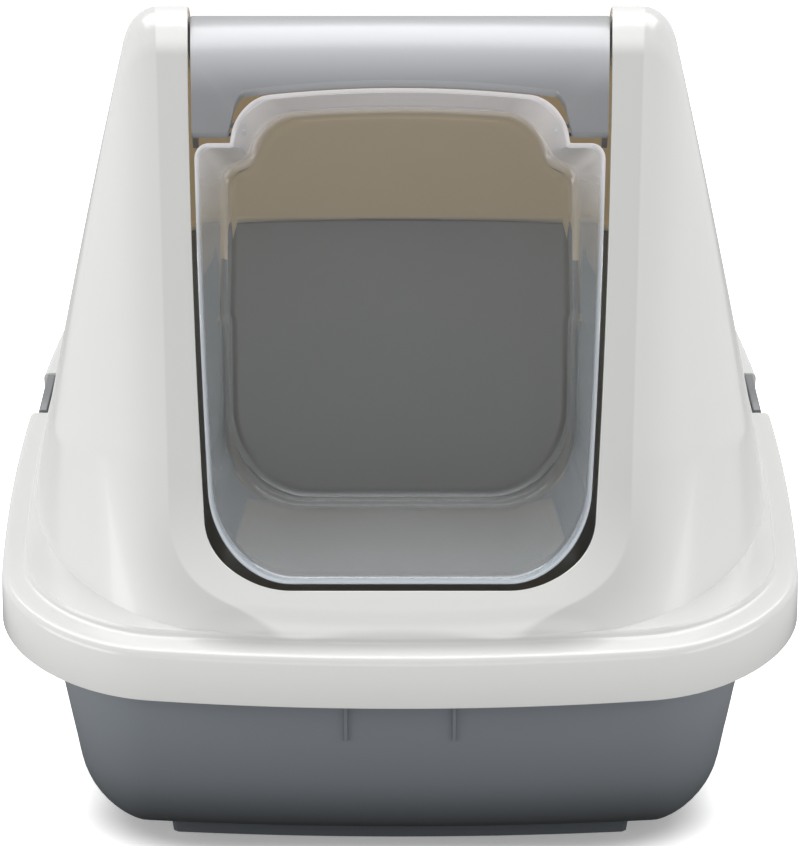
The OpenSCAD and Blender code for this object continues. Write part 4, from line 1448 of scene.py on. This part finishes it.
@dataclass
class Studio:
    """Floor, world, lamps and camera."""

    pitch: float = 12.0
    focal_px: float = 3200.0
    distance: float = 1704.0
    aim_z: float = 161.8
    frame_px: float = 846.0
    # Painted shade of the floor as bounce light sees it: darker near the foot, paler far off.
    floor_near: float = 0.12
    floor_far: float = 0.75
    foot_half: tuple[float, float] = (0.132, 0.205)
    foot_r: float = 0.05
    # Painted contact shadow: the floor's glow for the camera is lower near the foot.
    shadow_reach: float = 0.042
    shadow_lift: float = 0.2
    floor_reach: float = 0.45
    floor_tone: float = 0.9
    world_level: float = 0.38
    gloss_level: float = 0.75

    def lamp(self, name: str, place: Sequence[float], aim: Sequence[float], size: tuple[float, float],
             power: float) -> None:
        """Adds one soft rectangular lamp.

        Args:
            name: Name of the lamp.
            place: Where it stands, in metres.
            aim: What it looks at, in metres.
            size: Its width and height, in metres.
            power: Its power in watts.
        """
        data = bpy.data.lights.new(name, "AREA")
        data.shape = "RECTANGLE"
        data.size, data.size_y = size
        data.energy = power
        obj = bpy.data.objects.new(name, data)
        obj.location = place
        way = Vector(aim) - Vector(place)
        obj.rotation_euler = way.to_track_quat("-Z", "Y").to_euler()
        bpy.context.scene.collection.objects.link(obj)

    def world(self) -> None:
        """Even light that the camera and the clear flap see as white, and reflections see a little dimmer."""
        world = bpy.data.worlds.new("studio")
        bpy.context.scene.world = world
        world.use_nodes = True
        nodes, links = world.node_tree.nodes, world.node_tree.links
        back = nodes["Background"]
        back.inputs["Color"].default_value = (1, 1, 1, 1)
        path = nodes.new("ShaderNodeLightPath").outputs
        shown = math_node(world.node_tree, "MAXIMUM", path["Is Camera Ray"], path["Is Transmission Ray"])
        gloss = math_node(world.node_tree, "MULTIPLY", path["Is Glossy Ray"], self.gloss_level)
        seen = math_node(world.node_tree, "MAXIMUM", shown, gloss)
        level = ramp(world.node_tree, seen, (0.0, 1.0), (self.world_level, 1.0), smooth=False)
        links.new(level, back.inputs["Strength"])

    def distance_from_foot(self, tree: bpy.types.NodeTree) -> bpy.types.NodeSocket:
        """Adds nodes that measure the distance of a floor point from the foot of the object."""
        value = object_place(tree)
        core = (self.foot_half[0] - self.foot_r, self.foot_half[1] - self.foot_r, 0.0)
        for operation, other, out in (("ABSOLUTE", None, "Vector"), ("SUBTRACT", core, "Vector"),
                                      ("MAXIMUM", (0.0, 0.0, 0.0), "Vector"), ("LENGTH", None, "Value")):
            node = tree.nodes.new("ShaderNodeVectorMath")
            node.operation = operation
            feed(tree, node.inputs[0], value)
            if other is not None:
                feed(tree, node.inputs[1], other)
            value = node.outputs[out]
        return math_node(tree, "SUBTRACT", value, self.foot_r)

    def floor(self) -> None:
        """Pale floor that keeps the real shadow of the object, deepened by a painted contact shadow where its glow for
        the camera is lower near the foot; the floor that bounce light sees is painted darker near the foot.
        """
        mesh = bpy.data.meshes.new("studio_floor")
        mesh.from_pydata([(-9, -9, 0), (9, -9, 0), (9, 9, 0), (-9, 9, 0)], [], [(0, 1, 2, 3)])
        obj = bpy.data.objects.new("studio_floor", mesh)
        bpy.context.scene.collection.objects.link(obj)
        mat = bpy.data.materials.new("studio_floor")
        mat.use_nodes = True
        tree = mat.node_tree
        nodes, links = tree.nodes, tree.links
        shader, sink = nodes["Principled BSDF"], nodes["Material Output"]
        shader.inputs["Roughness"].default_value = 0.9
        shader.inputs["Specular IOR Level"].default_value = 0.0
        away = self.distance_from_foot(tree)
        seen = nodes.new("ShaderNodeLightPath").outputs["Is Camera Ray"]
        # Painted shade: for all but camera rays the floor is darker near the foot.
        hidden = ramp(tree, away, (0.0, self.floor_reach), (self.floor_near, self.floor_far))
        links.new(mix_node(tree, "FLOAT", seen, hidden, self.floor_tone), shader.inputs["Base Color"])
        # Painted contact shadow: the floor's glow for the camera is lower near the foot.
        fade = ramp(tree, away, (0.0, self.shadow_reach), (self.shadow_lift, 1.0))
        glow = nodes.new("ShaderNodeEmission")
        links.new(math_node(tree, "MULTIPLY", fade, seen), glow.inputs["Strength"])
        add = nodes.new("ShaderNodeAddShader")
        links.new(shader.outputs[0], add.inputs[0])
        links.new(glow.outputs[0], add.inputs[1])
        links.new(add.outputs[0], sink.inputs["Surface"])
        mesh.materials.append(mat)

    def camera(self) -> None:
        """Camera at the photograph's angle."""
        data = bpy.data.cameras.new("camera")
        data.sensor_width = 36.0
        data.lens = self.focal_px * 36.0 / self.frame_px
        data.clip_start, data.clip_end = 0.05, 50.0
        obj = bpy.data.objects.new("camera", data)
        a = math.radians(self.pitch)
        obj.location = (0.0, -self.distance * MM * math.cos(a), (self.aim_z + self.distance * math.sin(a)) * MM)
        obj.rotation_euler = (math.radians(90 - self.pitch), 0.0, 0.0)
        bpy.context.scene.collection.objects.link(obj)
        bpy.context.scene.camera = obj

    def build(self) -> None:
        """Builds the whole studio."""
        self.world()
        self.floor()
        self.lamp("top", (0.0, 0.8, 2.0), (0, 0, 0.2), (2.4, 1.2), 29.0)
        self.lamp("left", (-1.7, -0.9, 0.38), (0, 0, 0.10), (1.6, 1.0), 15.0)
        self.lamp("right", (1.7, -0.9, 0.38), (0, 0, 0.10), (1.6, 1.0), 11.0)
        self.lamp("front", (0.2, -2.6, 0.6), (0, 0, 0.2), (2.0, 1.2), 8.5)
        self.camera()
        bpy.context.scene.view_settings.view_transform = "Standard"


def main() -> None:
    """Builds every piece in order."""
    logging.basicConfig(level=logging.INFO, format="%(name)s: %(message)s")
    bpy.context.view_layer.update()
    Hood().build()
    Pan().build()
    TopCover().build()
    Flap().build()
    for side in Side:
        SideClip(side).build()
    Studio().build()
    LOG.info("done")


if __name__ == "__main__":
    main()
